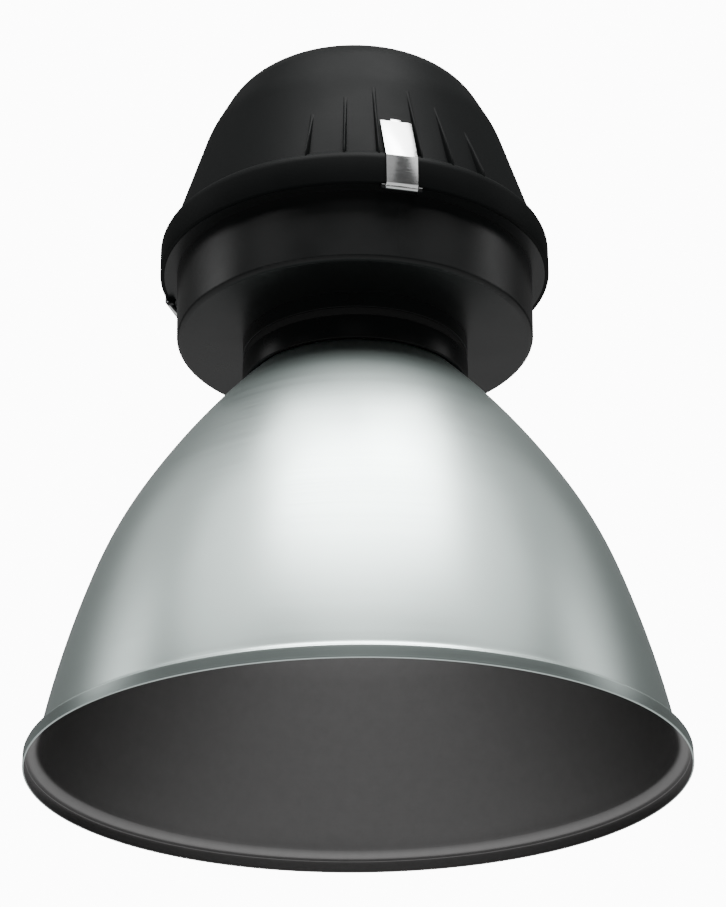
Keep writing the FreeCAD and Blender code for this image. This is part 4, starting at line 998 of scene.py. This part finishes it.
class HIGHBAY_OT_stage(bpy.types.Operator):
    """Set up the pale floor, the soft lights and the camera"""

    bl_idname = "highbay.stage"
    bl_label = "Stage"

    def execute(self, context):
        scene = context.scene
        bm = bmesh.new()
        half, depth = 60.0, 4.0
        bmesh.ops.create_grid(bm, x_segments=1, y_segments=1, size=half)
        bmesh.ops.translate(bm, verts=bm.verts, vec=(0, 0, -depth))
        floor = from_bmesh("floor", bm)
        pale, tree, surface = shader("pale_floor", (0.8, 0.8, 0.8), 0.0, 0.9)
        tinted(tree, surface, object_noise(tree, 0.8), (0.78, 0.78, 0.78), (0.82, 0.82, 0.82))
        surface.inputs["Emission Color"].default_value = (1, 1, 1, 1)
        surface.inputs["Emission Strength"].default_value = 0.5
        floor.data.materials.append(pale)
        self.sky(scene)
        self.lamps(scene)
        self.camera(scene)
        return {"FINISHED"}

    def sky(self, scene):
        """White surroundings that light the piece only gently."""
        world = bpy.data.worlds.new("studio")
        scene.world = world
        world.use_nodes = True
        tree = world.node_tree
        tree.nodes.clear()
        backdrop, ambient = 12.0, 0.05
        out = tree.nodes.new("ShaderNodeOutputWorld")
        seen = node(tree, "ShaderNodeBackground", in__Strength=backdrop)
        seen.inputs["Color"].default_value = (1, 1, 1, 1)
        glow = node(tree, "ShaderNodeBackground", in__Strength=ambient)
        glow.inputs["Color"].default_value = (1, 1, 1, 1)
        choose = tree.nodes.new("ShaderNodeMixShader")
        ray = tree.nodes.new("ShaderNodeLightPath")
        tree.links.new(ray.outputs["Is Camera Ray"], choose.inputs[0])
        tree.links.new(glow.outputs[0], choose.inputs[1])
        tree.links.new(seen.outputs[0], choose.inputs[2])
        tree.links.new(choose.outputs[0], out.inputs["Surface"])

    def lamps(self, scene):
        """Soft panels on a sphere round the light, all turned to its middle."""
        centre, away = Vector((0, 0, 0.3)), 3.0
        for name, turn, lift, bright, across, along in PANELS:
            light = bpy.data.lights.new(name, "AREA")
            light.shape = "ELLIPSE"
            light.size, light.size_y = 2 * across, 2 * along
            light.energy = bright * math.pi ** 2 * across * along
            lamp = bpy.data.objects.new(name, light)
            around, up = AROUND + FRONT + math.radians(turn), math.radians(lift)
            lamp.location = centre + away * Vector((
                math.cos(around) * math.cos(up), math.sin(around) * math.cos(up), math.sin(up)))
            aim = centre - lamp.location
            lamp.rotation_euler = aim.to_track_quat("-Z", "Y").to_euler()
            scene.collection.objects.link(lamp)

    def camera(self, scene):
        """Looks up at the light from below, a little to the left of the first clip."""
        distance, lift = 2.1512, math.radians(25.08)
        yaw, roll = -0.0028, -0.0087
        aim_height, focal_length = 0.26134, 110.6
        aim = Vector((0, 0, aim_height))
        back = Vector((0, -math.cos(lift), -math.sin(lift)))
        ahead = Matrix.Rotation(yaw, 3, "Z") @ -back
        right = ahead.cross(Vector((0, 0, 1))).normalized()
        up = right.cross(ahead)
        tilted_right = math.cos(roll) * right + math.sin(roll) * up
        tilted_up = -math.sin(roll) * right + math.cos(roll) * up
        axes = Matrix((tilted_right, tilted_up, -ahead)).transposed()
        place = Matrix.Rotation(AROUND, 4, "Z") @ (
            Matrix.Translation(aim + back * distance) @ axes.to_4x4())
        data = bpy.data.cameras.new("camera")
        data.lens = focal_length
        data.clip_start, data.clip_end = 0.05, 200.0
        camera = bpy.data.objects.new("camera", data)
        camera.matrix_world = place
        scene.collection.objects.link(camera)
        scene.camera = camera


# ---------------------------------------------------------------- add-on

STEPS = (
    HIGHBAY_OT_finishes, HIGHBAY_OT_reflector, HIGHBAY_OT_neck, HIGHBAY_OT_dome,
    HIGHBAY_OT_clips, HIGHBAY_OT_lamp, HIGHBAY_OT_fittings, HIGHBAY_OT_screws,
    HIGHBAY_OT_stage)


class HIGHBAY_PT_pieces(bpy.types.Panel):
    """Builds the light piece by piece"""

    bl_idname = "HIGHBAY_PT_pieces"
    bl_label = "High bay light"
    bl_space_type = "VIEW_3D"
    bl_region_type = "UI"
    bl_category = "High Bay"

    def draw(self, context):
        for group in (context.scene.high_bay_sizes, context.scene.high_bay_colours):
            for name in group.bl_rna.properties.keys():
                if name not in {"rna_type", "name"}:
                    self.layout.prop(group, name)
        for step in STEPS:
            self.layout.operator(step.bl_idname)


CLASSES = (LightSizes, LightColours, *STEPS, HIGHBAY_PT_pieces)


def register():
    for cls in CLASSES:
        bpy.utils.register_class(cls)
    bpy.types.Scene.high_bay_sizes = bpy.props.PointerProperty(type=LightSizes)
    bpy.types.Scene.high_bay_colours = bpy.props.PointerProperty(type=LightColours)


def unregister():
    del bpy.types.Scene.high_bay_sizes
    del bpy.types.Scene.high_bay_colours
    for cls in reversed(CLASSES):
        bpy.utils.unregister_class(cls)


def main():
    register()
    for step in STEPS:
        group, name = step.bl_idname.split(".")
        getattr(getattr(bpy.ops, group), name)()


if __name__ == "__main__":
    main()
